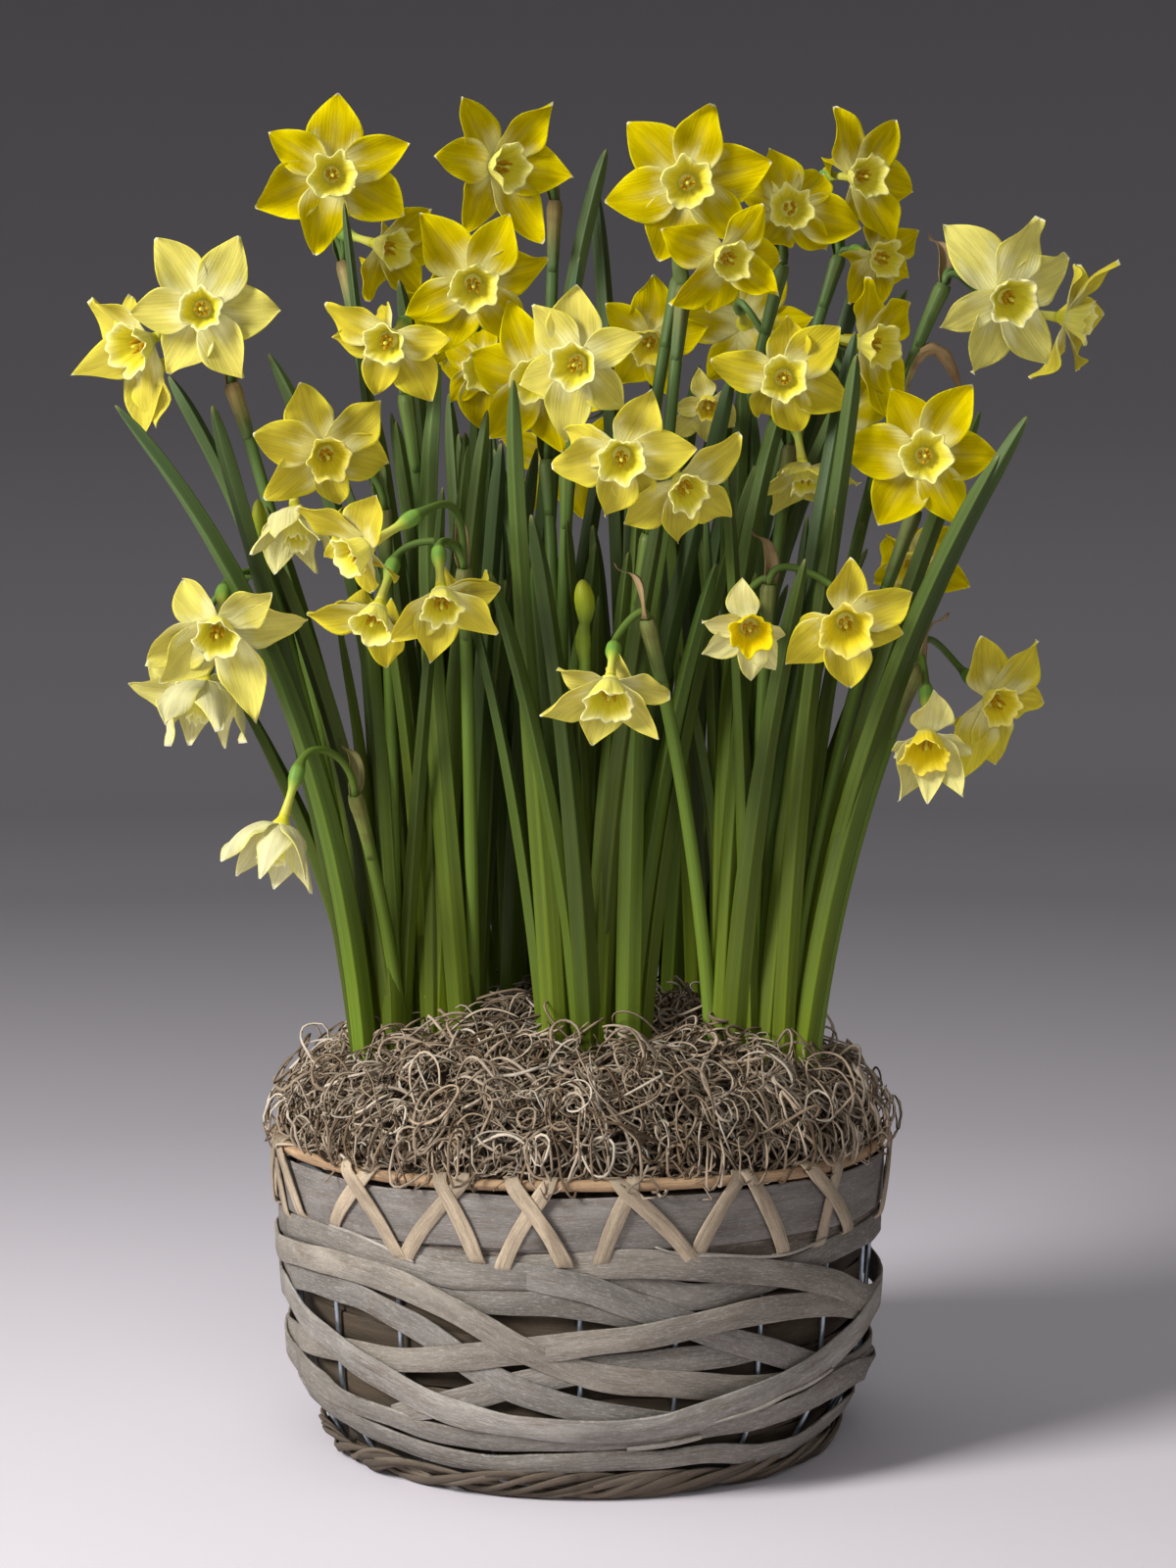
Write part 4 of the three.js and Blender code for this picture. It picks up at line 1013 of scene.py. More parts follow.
# Where the tips of a bloom's six petals show (px, py), in turn round it, the first in the
# outer layer and the next in the inner one
PETAL_TIPS = {
    1: [(90, 306), (138, 304), (168, 368), (162, 437), (141, 440), (71, 384)],
    2: [(158, 243), (245, 241), (286, 316), (250, 385), (172, 382), (133, 320)],
    3: [(345, 95), (418, 146), (412, 221), (318, 259), (261, 213), (274, 135)],
    4: [(386, 216), (434, 213), (446, 262), (426, 298), (376, 308), (366, 262)],
    5: [(394, 315), (461, 345), (440, 411), (385, 402), (338, 345), (333, 308)],
    6: [(471, 99), (564, 103), (583, 180), (552, 253), (478, 238), (441, 160)],
    7: [(430, 218), (519, 218), (561, 268), (535, 352), (445, 362), (413, 322)],
    8: [(450, 345), (495, 335), (534, 364), (530, 400), (491, 440), (460, 410)],
    9: [(586, 292), (655, 342), (638, 421), (579, 452), (530, 393), (545, 310)],
    11: [(640, 125), (727, 106), (787, 164), (758, 250), (673, 267), (617, 206)],
    12: [(678, 237), (777, 207), (800, 266), (796, 306), (723, 319), (683, 311)],
    13: [(667, 284), (722, 332), (697, 373), (690, 408), (633, 395), (618, 308)],
    14: [(785, 151), (838, 178), (880, 232), (841, 256), (780, 250), (757, 196)],
    15: [(858, 108), (912, 122), (933, 196), (912, 252), (868, 228), (836, 168)],
    16: [(893, 215), (937, 235), (927, 284), (895, 312), (866, 310), (862, 262)],
    17: [(889, 283), (926, 308), (917, 408), (905, 432), (875, 395), (858, 345)],
    18: [(802, 322), (857, 333), (868, 415), (815, 440), (774, 430), (725, 366)],
    19: [(713, 377), (748, 398), (750, 436), (720, 450), (685, 448), (686, 415)],
    21: [(665, 399), (711, 457), (660, 515), (617, 526), (563, 480), (582, 441)],
    22: [(727, 470), (756, 443), (748, 531), (688, 551), (637, 535), (660, 480)],
    23: [(910, 396), (992, 393), (1019, 465), (980, 537), (897, 537), (855, 458)],
    24: [(963, 228), (1057, 220), (1094, 265), (1068, 370), (994, 382), (959, 334)],
    25: [(1104, 270), (1141, 264), (1128, 320), (1098, 378), (1057, 391), (1080, 318)],
    26: [(905, 545), (937, 540), (973, 541), (990, 597), (935, 625), (893, 590)],
    27: [(306, 390), (388, 408), (398, 475), (347, 515), (272, 513), (257, 441)],
    29: [(345, 520), (388, 503), (407, 590), (385, 600), (332, 568), (303, 517)],
    30: [(335, 640), (313, 626), (370, 600), (400, 610), (410, 650), (397, 677)],
    31: [(455, 578), (497, 583), (511, 602), (507, 648), (440, 676), (398, 653)],
    32: [(186, 592), (278, 604), (314, 632), (262, 740), (168, 697), (151, 670)],
    34: [(150, 680), (190, 672), (235, 690), (246, 725), (180, 738), (131, 698)],
    36: [(566, 687), (631, 668), (684, 714), (673, 754), (605, 761), (549, 729)],
    37: [(757, 592), (797, 645), (791, 685), (766, 693), (718, 672), (716, 634)],
    38: [(869, 570), (932, 606), (922, 647), (866, 700), (802, 678), (811, 639)],
    39: [(1003, 650), (1057, 652), (1065, 714), (1015, 780), (984, 794), (973, 738)],
    40: [(954, 708), (992, 764), (980, 812), (949, 819), (920, 816), (913, 768)],
}
# How cream-coloured a bloom is, from lemon at 0 to cream at 1
PALENESS = {
    1: 0.4, 2: 0.75, 5: 0.2, 9: 0.65, 18: 0.15, 19: 0.8, 20: 0.6, 21: 0.35, 22: 0.35, 24: 0.9, 25: 0.3,
    27: 0.25, 28: 1.4, 29: 0.25, 30: 0.2, 31: 0.3, 32: 0.75, 33: 1.7, 34: 1.0, 35: 1.8, 36: 0.7, 37: 1.35,
    38: 0.25, 39: 0.25, 40: 1.25,
}
# Blooms that turn a little off their stalk: the way they look (az, el)
TURNED = {1: (-36, -18), 6: (40, -5), 24: (18, -18), 27: (18, -20), 36: (-5, -48)}
# Blooms with a longer, wider cup than the others, and those with a deeper yellow one
CUP_SIZES = {1: 1.2, 2: 0.92, 8: 1.1, 36: 1.2, 37: 1.4, 38: 1.25, 40: 1.3}
DEEP_CUPS = {13: 0.4, 17: 0.2, 19: 0.6, 26: 0.5, 27: 0.4, 37: 1.0, 38: 0.5, 39: 0.4, 40: 0.8}
PETAL_ROWS = 16
PETAL_SHARES = np.array([0, 0.1, 0.22, 0.34, 0.44, 0.55, 0.67, 0.78, 0.87, 0.93, 0.975, 1])
PETAL_WIDTHS = np.array([0.36, 0.55, 0.8, 0.96, 1.0, 0.95, 0.79, 0.58, 0.37, 0.22, 0.1, 0.03])

PETAL_ACROSS = np.array([-1, -0.9, -0.7, -0.45, -0.2, 0, 0.2, 0.45, 0.7, 0.9, 1])

OUTER_WIDTH = 0.35

INNER_WIDTH = 0.315



SHEET = 0.45
LEMON = rgb(208, 189, 0)
# A deeper lemon, and also the painted shade in the grooves between a petal's ribs.
DEEP_LEMON_AND_SHADE = rgb(158, 139, 0)

EDGE_LEMON = rgb(232, 217, 20)

CREAM = rgb(208, 200, 112)
WHITISH = rgb(216, 213, 160)
IVORY = rgb(226, 222, 180)


def tip_place(px, py, bloom, centre, ahead):
    """Where a petal ends on the sight line of its tip: in the bloom's own plane, or bent out
    of it where that would make the petal too long or too short"""
    sight = unit(spot(px, py, 0) - EYE)
    level = EYE + sight * (np.dot(centre - EYE, ahead) / np.dot(sight, ahead))
    reach = np.linalg.norm(level - centre)
    least, most = bloom["radius"] * 0.8, bloom["radius"] * 1.12
    if least <= reach <= most:
        return level
    beside = EYE + sight * np.dot(centre - EYE, sight)
    miss = np.linalg.norm(beside - centre)
    wanted = least if reach < least else bloom["radius"]
    if miss >= wanted:
        return beside
    step = sight * math.sqrt(wanted**2 - miss**2)
    ends = [beside + step, beside - step]
    if reach < least:
        return min(ends, key=lambda end: np.dot(end - centre, ahead))
    return min(ends, key=lambda end: abs(np.dot(end - centre, ahead)))


def petal_ends(bloom, centre, axes, draw):
    """The six ends of a bloom's petals: measured ones, or an even star that folds by "open" """
    ahead, right, above = axes
    tips = PETAL_TIPS.get(bloom["id"])
    if tips:
        return [tip_place(px, py, bloom, centre, ahead) for px, py in tips]
    ends = []
    for k in range(6):
        angle = math.radians(bloom["roll"] + (draw() - 0.5) * 10) + k * math.pi / 3
        fold = math.radians(bloom["open"] + (draw() - 0.5) * 14)
        outward = right * math.cos(angle) + above * math.sin(angle)
        way = outward * math.cos(fold) - ahead * math.sin(fold)
        ends.append(centre + way * bloom["radius"] * (1.0 + 0.1 * draw()))
    return ends


def petal_relief(t, s, half, length, draw):
    """Heights over a petal's middle: edges that rise or roll, a midrib, waves and a hooked tip"""
    t, s = t[:, None], s[None]
    body = np.sin(np.pi * np.clip(t, 0, 1))
    trough = half * (0.1 + 0.3 * draw())
    high = trough * np.abs(s) ** 1.6 * body
    for side in (-1, 1):
        roll = half * (0.75 * draw() - 0.3)
        high = high + roll * smooth(0.35, 1.0, s * side) ** 1.5 * smooth(0.15, 0.7, t) * (1 - 0.5 * t)
    high = high - 0.45 * np.exp(-((s / 0.16) ** 2)) * body
    high = high + 0.28 * np.cos(3.6 * np.pi * s) * body
    wave = 0.055 * length * (0.3 + draw())
    beat = 1.3 + 0.8 * draw()
    phase = draw() * 2 * math.pi
    high = high + wave * np.sin(2 * np.pi * beat * t + phase + 1.3 * np.sign(s)) * s**2 * smooth(0.1, 0.5, t)
    hook = length * (0.16 * draw() - 0.1)
    return high + hook * smooth(0.7, 1, t) ** 1.5


def petal_tint(t, s, bloom, draw):
    """A cream star round the cup, lemon outwards with a deeper lemon towards the cup, painted shade in stripes between
    the veins, and a pale point
    """
    paleness = PALENESS.get(bloom["id"], 0.0)
    pale, ivory = min(paleness, 1.0), max(paleness - 1.0, 0.0)
    phase = draw() * 6
    reach = t[:, None] + 0.09 * np.cos(s * 5 + phase)[None] + 0.05 * np.cos(s * 13 + phase)[None]
    reach = reach - 0.1 * (np.abs(s) ** 2)[None] - 0.1 * pale
    yellow = smooth(0.14, 0.38, reach)[..., None]
    cream = CREAM * (1 - ivory) + IVORY * ivory
    main = LEMON * (1 - pale) + cream * pale
    deep = DEEP_LEMON_AND_SHADE * (1 - pale) + (cream * 0.8 + LEMON * 0.1) * pale
    # Painted shade: darker stripes between the veins, for the shade in the grooves between the ribs.
    ribs = (0.5 + 0.5 * np.cos(np.pi * 5 * s))[None] * smooth(0.2, 0.5, t)[:, None]
    along = 0.4 * (1 - smooth(0.3, 0.75, t))[:, None]
    share = np.clip(0.3 * ribs + along + 0.3 * draw(), 0, 1)[..., None]
    body = main * (1 - share) + deep * share
    root = WHITISH * (0.66 + 0.25 * pale) + LEMON * (0.34 - 0.25 * pale)
    colour = root * (1 - yellow) + body * yellow
    streak = (smooth(0.3, 0.0, np.abs(s)) * 0.08)[None] * (1 - smooth(0.45, 0.8, t))[:, None]
    colour = colour * (1 - streak[..., None]) + WHITISH * streak[..., None]
    edge = (smooth(0.8, 1, np.abs(s)) * 0.7)[None] * smooth(0.2, 0.5, t)[:, None]
    rim = EDGE_LEMON * (1 - pale * 0.7) + rgb(226, 220, 120) * pale * 0.7
    colour = colour * (1 - edge[..., None]) + rim * edge[..., None]
    point = smooth(0.97, 1, t)[:, None, None] * 0.7
    return colour * (1 - point) + rgb(236, 236, 210) * point


def petal(form, centre, axes, bloom, end, k, draw):
    """One petal: it leaves the cup level with the bloom and bends to its end"""
    ahead = axes[0]
    inner = k % 2 == 1
    reach = end - centre
    length = np.linalg.norm(reach)
    level = unit(reach - ahead * np.dot(reach, ahead))
    aside = np.cross(ahead, level)
    half = min(length, bloom["radius"]) * (INNER_WIDTH if inner else OUTER_WIDTH) * (0.9 + 0.2 * draw())
    t = 1 - (1 - np.linspace(0, 1, PETAL_ROWS)) ** 1.2
    s = PETAL_ACROSS
    knee = centre + level * length * 0.45 + reach * 0.1
    start = centre + level * 1.8
    blend_t = t[:, None]
    spine = (1 - blend_t) ** 2 * start + 2 * blend_t * (1 - blend_t) * knee + blend_t**2 * end
    along = unit(np.gradient(spine, axis=0))
    up = unit(np.cross(along, aside))
    up = up * np.sign(np.sum(up * ahead, -1, keepdims=True) + 1e-9)

    across = s[None] * (np.interp(t, PETAL_SHARES, PETAL_WIDTHS) * half)[:, None]
    high = petal_relief(t, s, half, length, draw)
    twist = (draw() - 0.5) * 0.9
    turn = twist * smooth(0.15, 1, t)[:, None]
    flat = across * np.cos(turn) - high * np.sin(turn)
    high = across * np.sin(turn) + high * np.cos(turn)
    sway = (draw() - 0.5) * 0.1 * length * np.sin(np.pi * t)[:, None]
    layer = (1.4 if inner else -1.0) * smooth(0, 0.25, t)[:, None]
    front = spine[:, None] + aside * (flat + sway)[..., None] + up[:, None] * (high + layer)[..., None]
    rear = front - up[:, None] * (SHEET * (0.4 + 0.6 * (1 - s**2)))[None, :, None]
    rings = np.concatenate([front, rear[:, ::-1]], 1)

    colour = petal_tint(t, s, bloom, draw)
    tint = np.concatenate([colour, colour[:, ::-1] * 0.9], 1)
    places = np.concatenate([across, across[:, ::-1]], 1)
    flow = np.stack(np.broadcast_arrays((t * length)[:, None], places, bloom["id"] * 7.1 + k), -1)
    form.loft(rings, tint, flow, 0)

CUP_SIDES = 60

CUP_OUTSIDE = np.linspace(0, 1, 9)

CUP_INSIDE = np.array([0.985, 0.94, 0.88, 0.78, 0.62, 0.44, 0.26, 0.1])


def waves(draw, counts, turns):
    """A seeded sum of even waves round a cup"""
    return sum((draw() - 0.5) * np.cos(m * turns + draw() * 6.3) for m in counts)





def cup(form, centre, axes, bloom, draw):
    """The frilled trumpet: six soft pleats, an uneven rim with a few tears"""
    ahead, right, above = axes
    rim, height = cup_size(bloom)
    rim *= 0.82 * CUP_SIZES.get(bloom["id"], 1.0)
    height *= CUP_SIZES.get(bloom["id"], 1.0)
    turns = np.arange(CUP_SIDES) * 2 * np.pi / CUP_SIDES
    phase = draw() * 2 * math.pi
    lobes = 0.5 + 0.5 * np.cos(6 * turns + phase)
    frill = 0.06 * lobes + 0.12 * waves(draw, (2, 3, 4, 5, 7), turns) + 0.06 * waves(draw, (9, 11, 14, 17), turns)
    edge = 0.14 * waves(draw, (1, 2, 3, 5, 8), turns) + 0.08 * waves(draw, (11, 14, 17), turns) - 0.05 * (1 - lobes)
    for _ in range(3):
        away = (turns - draw() * 2 * math.pi + math.pi) % (2 * math.pi) - math.pi
        edge = edge - 0.14 * np.exp(-((away / 0.11) ** 2))
    folds = np.cos(6 * turns + phase) * 0.05 + np.cos(12 * turns + phase * 2) * 0.02

    def ring(share, inset):
        radius = 3.8 + (rim - 3.8) * (0.84 * share**0.8 + 0.16 * share**5)
        radius = radius * (1 + folds * smooth(0, 0.5, share)) + rim * frill * share**4 - inset
        forward = 0.2 + height * share * (1 + edge * share**4)
        place = right * np.cos(turns)[:, None] + above * np.sin(turns)[:, None]
        return centre + place * radius[:, None] + ahead * forward[:, None]

    rings = [ring(share, 0) for share in CUP_OUTSIDE]
    rings += [ring(share, 0.5) for share in CUP_INSIDE]
    floor = right * np.cos(turns)[:, None] + above * np.sin(turns)[:, None]
    rings.append(centre + ahead * 0.6 + floor * 1.2)

    pale = min(1, PALENESS.get(bloom["id"], 0.0)) * 0.6
    rich = DEEP_CUPS.get(bloom["id"], 0.0)
    lip = rgb(232, 224, 132) * (1 - pale) + rgb(238, 232, 180) * pale
    lip = lip * (1 - rich) + rgb(228, 202, 24) * rich
    wall = rgb(220, 211, 98) * (1 - rich) + rgb(222, 196, 14) * rich
    throat = rgb(206, 195, 52) * (1 - rich) + rgb(214, 186, 4) * rich
    outer_stops = [(0, rgb(200, 196, 120)), (0.35, wall), (0.85, wall * 1.05), (1, lip)]
    inner_stops = [(0, rgb(186, 180, 56)), (0.3, throat), (0.62, throat * 1.04), (0.84, wall), (0.96, lip), (1, lip)]
    inner = blend(inner_stops, CUP_INSIDE)
    tint = np.concatenate([blend(outer_stops, CUP_OUTSIDE), inner, inner[-1:]])[:, None]
    along = np.concatenate([CUP_OUTSIDE * height, CUP_INSIDE * height, [0]])[:, None]
    flow = np.stack(np.broadcast_arrays(along, (turns * rim)[None], bloom["id"] * 5.3), -1)
    form.loft(np.array(rings), tint, flow, 1)


def stamens(form, centre, axes, bloom, draw):
    """Six golden anthers round a style with a pale head"""
    ahead, right, above = axes
    height = cup_size(bloom)[1]
    for k in range(7):
        style = k == 6
        turn = k * math.pi / 3 + draw() * 0.5
        out = 0 if style else 1.9 + 0.8 * draw()
        side = right * math.cos(turn) + above * math.sin(turn)
        start = 0.1 if style else 0.2
        end = 0.82 if style else 0.58 + 0.2 * draw()
        shares = np.linspace(0, 1, 6)[:, None]
        points = centre + side * out * (0.6 + 0.5 * shares) + ahead * height * (start + (end - start) * shares)
        radii = [0.35, 0.35, 0.35, 0.4, 0.8, 0.5] if style else [0.3, 0.75, 0.95, 0.9, 0.65, 0.2]
        colour = rgb(214, 206, 80) if style else rgb(170, 134, 24)
        form.loft(swept(points, np.array(radii), 6, side=above), colour, flow_of(points, 6, k), 1)


def tail_cone(form, centre, axes, bloom):
    """The throat behind the petals, which the floral tube runs into"""
    ahead, right, _ = axes
    forward = np.linspace(-CONE - 0.2, 1.2, 7)
    points = centre + ahead * forward[:, None]
    radii = np.array([1.9, 2.1, 2.5, 3.1, 3.7, 4.1, 3.2])
    stops = [(0, rgb(196, 200, 60)), (0.6, rgb(214, 206, 60)), (1, rgb(226, 220, 120))]
    tint = blend(stops, np.linspace(0, 1, 7))[:, None]
    form.loft(swept(points, radii, 14, side=right), tint, flow_of(points, 14, bloom["id"]), 0)


def bloom_form(form, bloom):
    draw = seeded(bloom["id"] * 101 + 7)
    axes = facing(*TURNED.get(bloom["id"], (bloom["az"], bloom["el"])))
    centre = spot(bloom["px"], bloom["py"], bloom["y"])
    for k, end in enumerate(petal_ends(bloom, centre, axes, draw)):
        petal(form, centre, axes, bloom, end, k, draw)
    tail_cone(form, centre, facing(bloom["az"], bloom["el"]), bloom)
    cup(form, centre, axes, bloom, draw)
    stamens(form, centre, axes, bloom, draw)


def dress_blooms(looks):
    grouped = {key for group in PRESSED for key in group}
    groups = PRESSED + [(key,) for key in BLOOMS if key not in grouped]
    for group in groups:
        form = Form()
        for key in group:
            bloom_form(form, BLOOMS[key])
        label = "_".join(f"{key:02d}" for key in group)
        node = ("blooms_" if len(group) > 1 else "bloom_") + label
        form.piece("flower_" + label, [node], [looks["petal"], looks["cup"]])


# Greenery
LEAF_HEIGHTS = [(114, rgb(132, 147, 38)), (150, rgb(106, 122, 13)), (220, rgb(82, 95, 10)), (310, rgb(71, 86, 18)), (400, rgb(77, 94, 40)), (540, rgb(96, 114, 70))]


LEAF_ACROSS = np.array([-1, -0.9, -0.62, -0.34, -0.1, 0, 0.1, 0.34, 0.62, 0.9, 1])


def leaf(form, path, turn, draw, seed, wide=0.9):
    t = np.concatenate([np.linspace(0, 0.8, 16), 1 - 0.2 * (1 - np.linspace(0, 1, 12)[1:]) ** 1.7])
    s = LEAF_ACROSS
    middle = path.point(t)
    across = blade_across(path, t, turn)
    back = np.cross(across, path.tangent(t))
    span = lengths(middle)
    from_tip = span[-1] - span
    half = blade_width(t) * wide / 2 * (1 - 0.22 * smooth(0.5, 1, t))
    blunt = 20 + 14 * draw()
    taper = (1 - (1 - np.clip(from_tip / blunt, 0, 1)) ** 2.0) ** 0.62
    half = half * (0.05 + 0.95 * taper)
    fold = (0.7 + 0.9 * draw()) * (0.25 + 0.75 * taper)
    ripple = 0.6 * np.sin(t * 12 + draw() * 6)[:, None] * np.sign(s)[None] * np.abs(s)[None] ** 2
    depth = LEAF_THICKNESS * fold[:, None] * (1 - np.abs(s) ** 1.15)[None] + ripple
    ribs = 0.07 * np.cos(3.5 * np.pi * s)[None] * taper[:, None]
    rear = middle[:, None] + across[:, None] * (half[:, None] * s[None])[..., None] + back[:, None] * depth[..., None]
    thick = (0.95 * (1 - 0.72 * s**2))[None, :, None] * (0.4 + 0.6 * taper)[:, None, None]
    front = rear + back[:, None] * (thick * 0.6 + ribs[..., None])
    rear = rear - back[:, None] * (thick * 0.4 + ribs[..., None])
    rings = np.concatenate([front, rear[:, ::-1]], 1)

    tone = 0.52 + 0.66 * draw()
    blue = draw() ** 2
    colour = blend(LEAF_HEIGHTS, middle[:, 2]) * tone
    colour = colour * np.array([1 - 0.14 * blue, 1, 1 + 0.6 * blue])
    both = np.concatenate([s, s[::-1]])
    # Painted light: a painted highlight along the keel and at the edges, and, by lean, one half of the blade painted
    # lighter and the other darker as its two faces catch the light; the bands are veins.
    keel_highlight = np.exp(-((both / 0.09) ** 2))
    lean = (draw() - 0.5) * 0.5
    bands = 0.5 + 0.5 * np.cos(both * (9 + 8 * draw()) + draw() * 6)
    edge = smooth(0.84, 1.0, np.abs(both))
    shade = (1 + lean * np.sign(both) * smooth(0, 0.12, np.abs(both))) * (0.96 + 0.26 * keel_highlight - 0.1 * bands + 0.2 * edge)
    colour = colour[:, None] * shade[None, :, None]
    dry = smooth(3.5, 0, from_tip)[:, None, None] * 0.4
    colour = colour * (1 - dry) + rgb(150, 142, 84) * dry
    offsets = np.concatenate([half[:, None] * s[None], half[:, None] * s[::-1][None]], 1)
    flow = np.stack(np.broadcast_arrays(span[:, None], offsets, seed * 11.7), -1)
    form.loft(rings, colour, flow, 0)


STEM_HEIGHTS = [(114, rgb(132, 156, 66)), (200, rgb(102, 124, 34)), (320, rgb(82, 104, 34)), (430, rgb(78, 102, 50)), (540, rgb(82, 106, 58))]


def stem(form, path, draw, seed, top=1.0):
    t = np.linspace(0, top, 20)
    points = path.point(t)
    radii = SCAPE_RADIUS * (1.02 - 0.2 * t)
    oval = np.stack([radii * 1.06, radii * 0.84], -1)
    tone = 0.88 + 0.28 * draw()
    colour = blend(STEM_HEIGHTS, points[:, 2])[:, None] * tone
    form.loft(swept(points, oval, 10), colour, flow_of(points, 10, seed, 2.6), 0)


def stalk_form(form, stalk, draw, seed):
    """One flower stalk: pedicel, ovary and the floral tube up to the bloom"""
    path = stalk["path"]
    t = np.linspace(0, 1, 16)
    bent = path.point(t)
    ahead, ovary = stalk["ahead"], stalk["ovary"]
    further = np.array([1.5, 3.5, 6, 8, 10, 13, 16, 19, TUBE_LENGTH + 0.4])
    points = np.concatenate([bent, ovary + ahead * further[:, None]])
    radii = np.concatenate([np.full(14, 1.45), [1.7, 2.4], [2.9, 3.1, 2.9, 2.2, 1.7, 1.6, 1.75, 2.0, 2.2]])
    green = blend(STEM_HEIGHTS, bent[:, 2]) * 1.08
    pale = np.array([rgb(112, 150, 58)] * 3 + [rgb(150, 172, 62), rgb(178, 188, 70), rgb(196, 200, 84)])
    pale = np.concatenate([pale, [rgb(208, 206, 90), rgb(214, 208, 84), rgb(216, 208, 70)]])
    colour = np.concatenate([green, pale])[:, None]
    form.loft(swept(points, radii, 10), colour, flow_of(points, 10, seed, 2), 0)


# How dry the sleeve under a node is, and its curled end, by the first bloom of the stem
SLEEVES = {1: 1.0, 3: 0.8, 6: 0.9, 27: 0.3, 29: 0.4, 32: 0.3, 35: 0.3, 41: 0.4, 12: 0.35, 36: 0.25, 37: 0.3, 18: 0.3, 23: 0.2, 39: 0.3, 42: 0.3}
CURLS = {1: 1.0, 29: 0.9, 35: 0.55, 36: 1.0, 37: 1.0, 24: 1.0, 23: 1.0, 39: 0.9, 6: 0.5}


def sheath(form, grown_stem, draw, seed):
    """The dry sheath: a papery sleeve under the node, and its curled end above"""
    path, node = grown_stem["path"], grown_stem["node"]
    first = grown_stem["stalks"][0]["bloom"]["id"]
    reach = 1 - (26 + 14 * draw()) / max(60, np.linalg.norm(node - path.point(0.0)))
    t = np.linspace(reach, 1, 11)
    points = path.point(t)
    radii = SCAPE_RADIUS * np.array([0.8, 0.86, 0.92, 0.96, 0.98, 1.01, 1.05, 1.1, 1.18, 1.2, 1.0])
    green = blend(STEM_HEIGHTS, points[:, 2]) * 1.05
    stops = [(0, rgb(128, 134, 60)), (0.5, rgb(166, 152, 84)), (0.85, rgb(168, 146, 86)), (1, rgb(130, 102, 58))]
    straw = blend(stops, np.linspace(0, 1, 11)) * (0.8 + 0.3 * draw())
    share = (smooth(0, 0.75, np.linspace(0, 1, 11)) * SLEEVES.get(first, 0.08))[:, None]
    tint = (green * (1 - share) + straw * share)[:, None]
    rings = swept(points, radii, 14)
    crimp = 1 + 0.12 * np.cos(np.arange(14) * 2.3 + draw() * 6)
    rings = points[:, None] + (rings - points[:, None]) * crimp[None, :, None]
    form.loft(rings, tint, flow_of(points, 14, seed, 3), 1 if first in SLEEVES else 0)
    if not grown_stem["sheath"]:
        return
    way, out = grown_stem["sheath"]
    t = np.linspace(0, 1, 14)
    s = np.linspace(-1, 1, 7)
    side = vec(-out[1], out[0], 0)
    curl = 2 + 5 * draw()
    sway = 4 * (draw() - 0.5)
    middle = way.point(t) + out * (curl * smooth(0.4, 1, t))[:, None] - vec(0, 0, 1) * (9 * smooth(0.5, 1, t))[:, None]
    middle = middle + side * (sway * np.sin(t * 5))[:, None]
    half = np.interp(t, [0, 0.15, 0.4, 0.75, 1], [2.2, 3.2, 2.9, 1.5, 0.25])
    turn = (2.2 * draw() - 1.1) * smooth(0.2, 1, t)
    cupped = np.interp(t, [0, 0.5, 1], [2.2, 1.6, 0.5])[:, None] * (1 - s**2)[None]
    wrinkle = 0.5 * np.sin(t * 9 + draw() * 6)[:, None] * np.cos(3 * s)[None]
    wide = half[:, None] * s
    high = cupped + wrinkle
    flat = wide * np.cos(turn)[:, None] - high * np.sin(turn)[:, None]
    high = wide * np.sin(turn)[:, None] + high * np.cos(turn)[:, None]
    front = middle[:, None] + side * flat[..., None] + out * high[..., None]
    rings = np.concatenate([front, front[:, ::-1] - out * 0.4], 1)
    stops = [(0, rgb(146, 124, 80)), (0.5, rgb(154, 128, 88)), (1, rgb(108, 84, 54))]
    dry = CURLS.get(first, 0.15)
    brown = blend(stops, t) * (0.75 + 0.35 * draw())
    tint = (brown * dry + blend(STEM_HEIGHTS, middle[:, 2]) * (1 - dry))[:, None]
    form.loft(rings, tint, flow_of(middle, 14, seed + 3, 4), 1 if first in CURLS else 0)


def bud_form(form, bud, draw, seed):
    """A green bud in its sheath: a swelling on the neck, a waist, then the bud itself"""
    share = np.array([-1.3, -1.0, -0.75, -0.6, -0.4, -0.2, -0.05, 0.08, 0.2, 0.4, 0.6, 0.75, 0.88, 0.96, 1.0])
    radii = bud["radius"] * np.array([0.5, 0.5, 0.48, 0.52, 0.66, 0.64, 0.5, 0.44, 0.62, 0.82, 0.84, 0.74, 0.56, 0.34, 0.1])
    points = bud["tip"] + vec(0, 0, 1) * (share * bud["length"])[:, None]
    points = points + vec(1, 0, 0) * (0.5 * np.sin(share * 5) * smooth(-1.2, -0.6, share))[:, None]
    stops = [(-1.1, rgb(104, 130, 44)), (-0.3, rgb(132, 152, 40)), (0.08, rgb(104, 124, 34)), (0.5, rgb(150, 164, 30)), (0.8, rgb(158, 162, 24)), (1, rgb(112, 120, 30))]
    form.loft(swept(points, radii, 12), blend(stops, share)[:, None], flow_of(points, 12, seed, 4), 0)


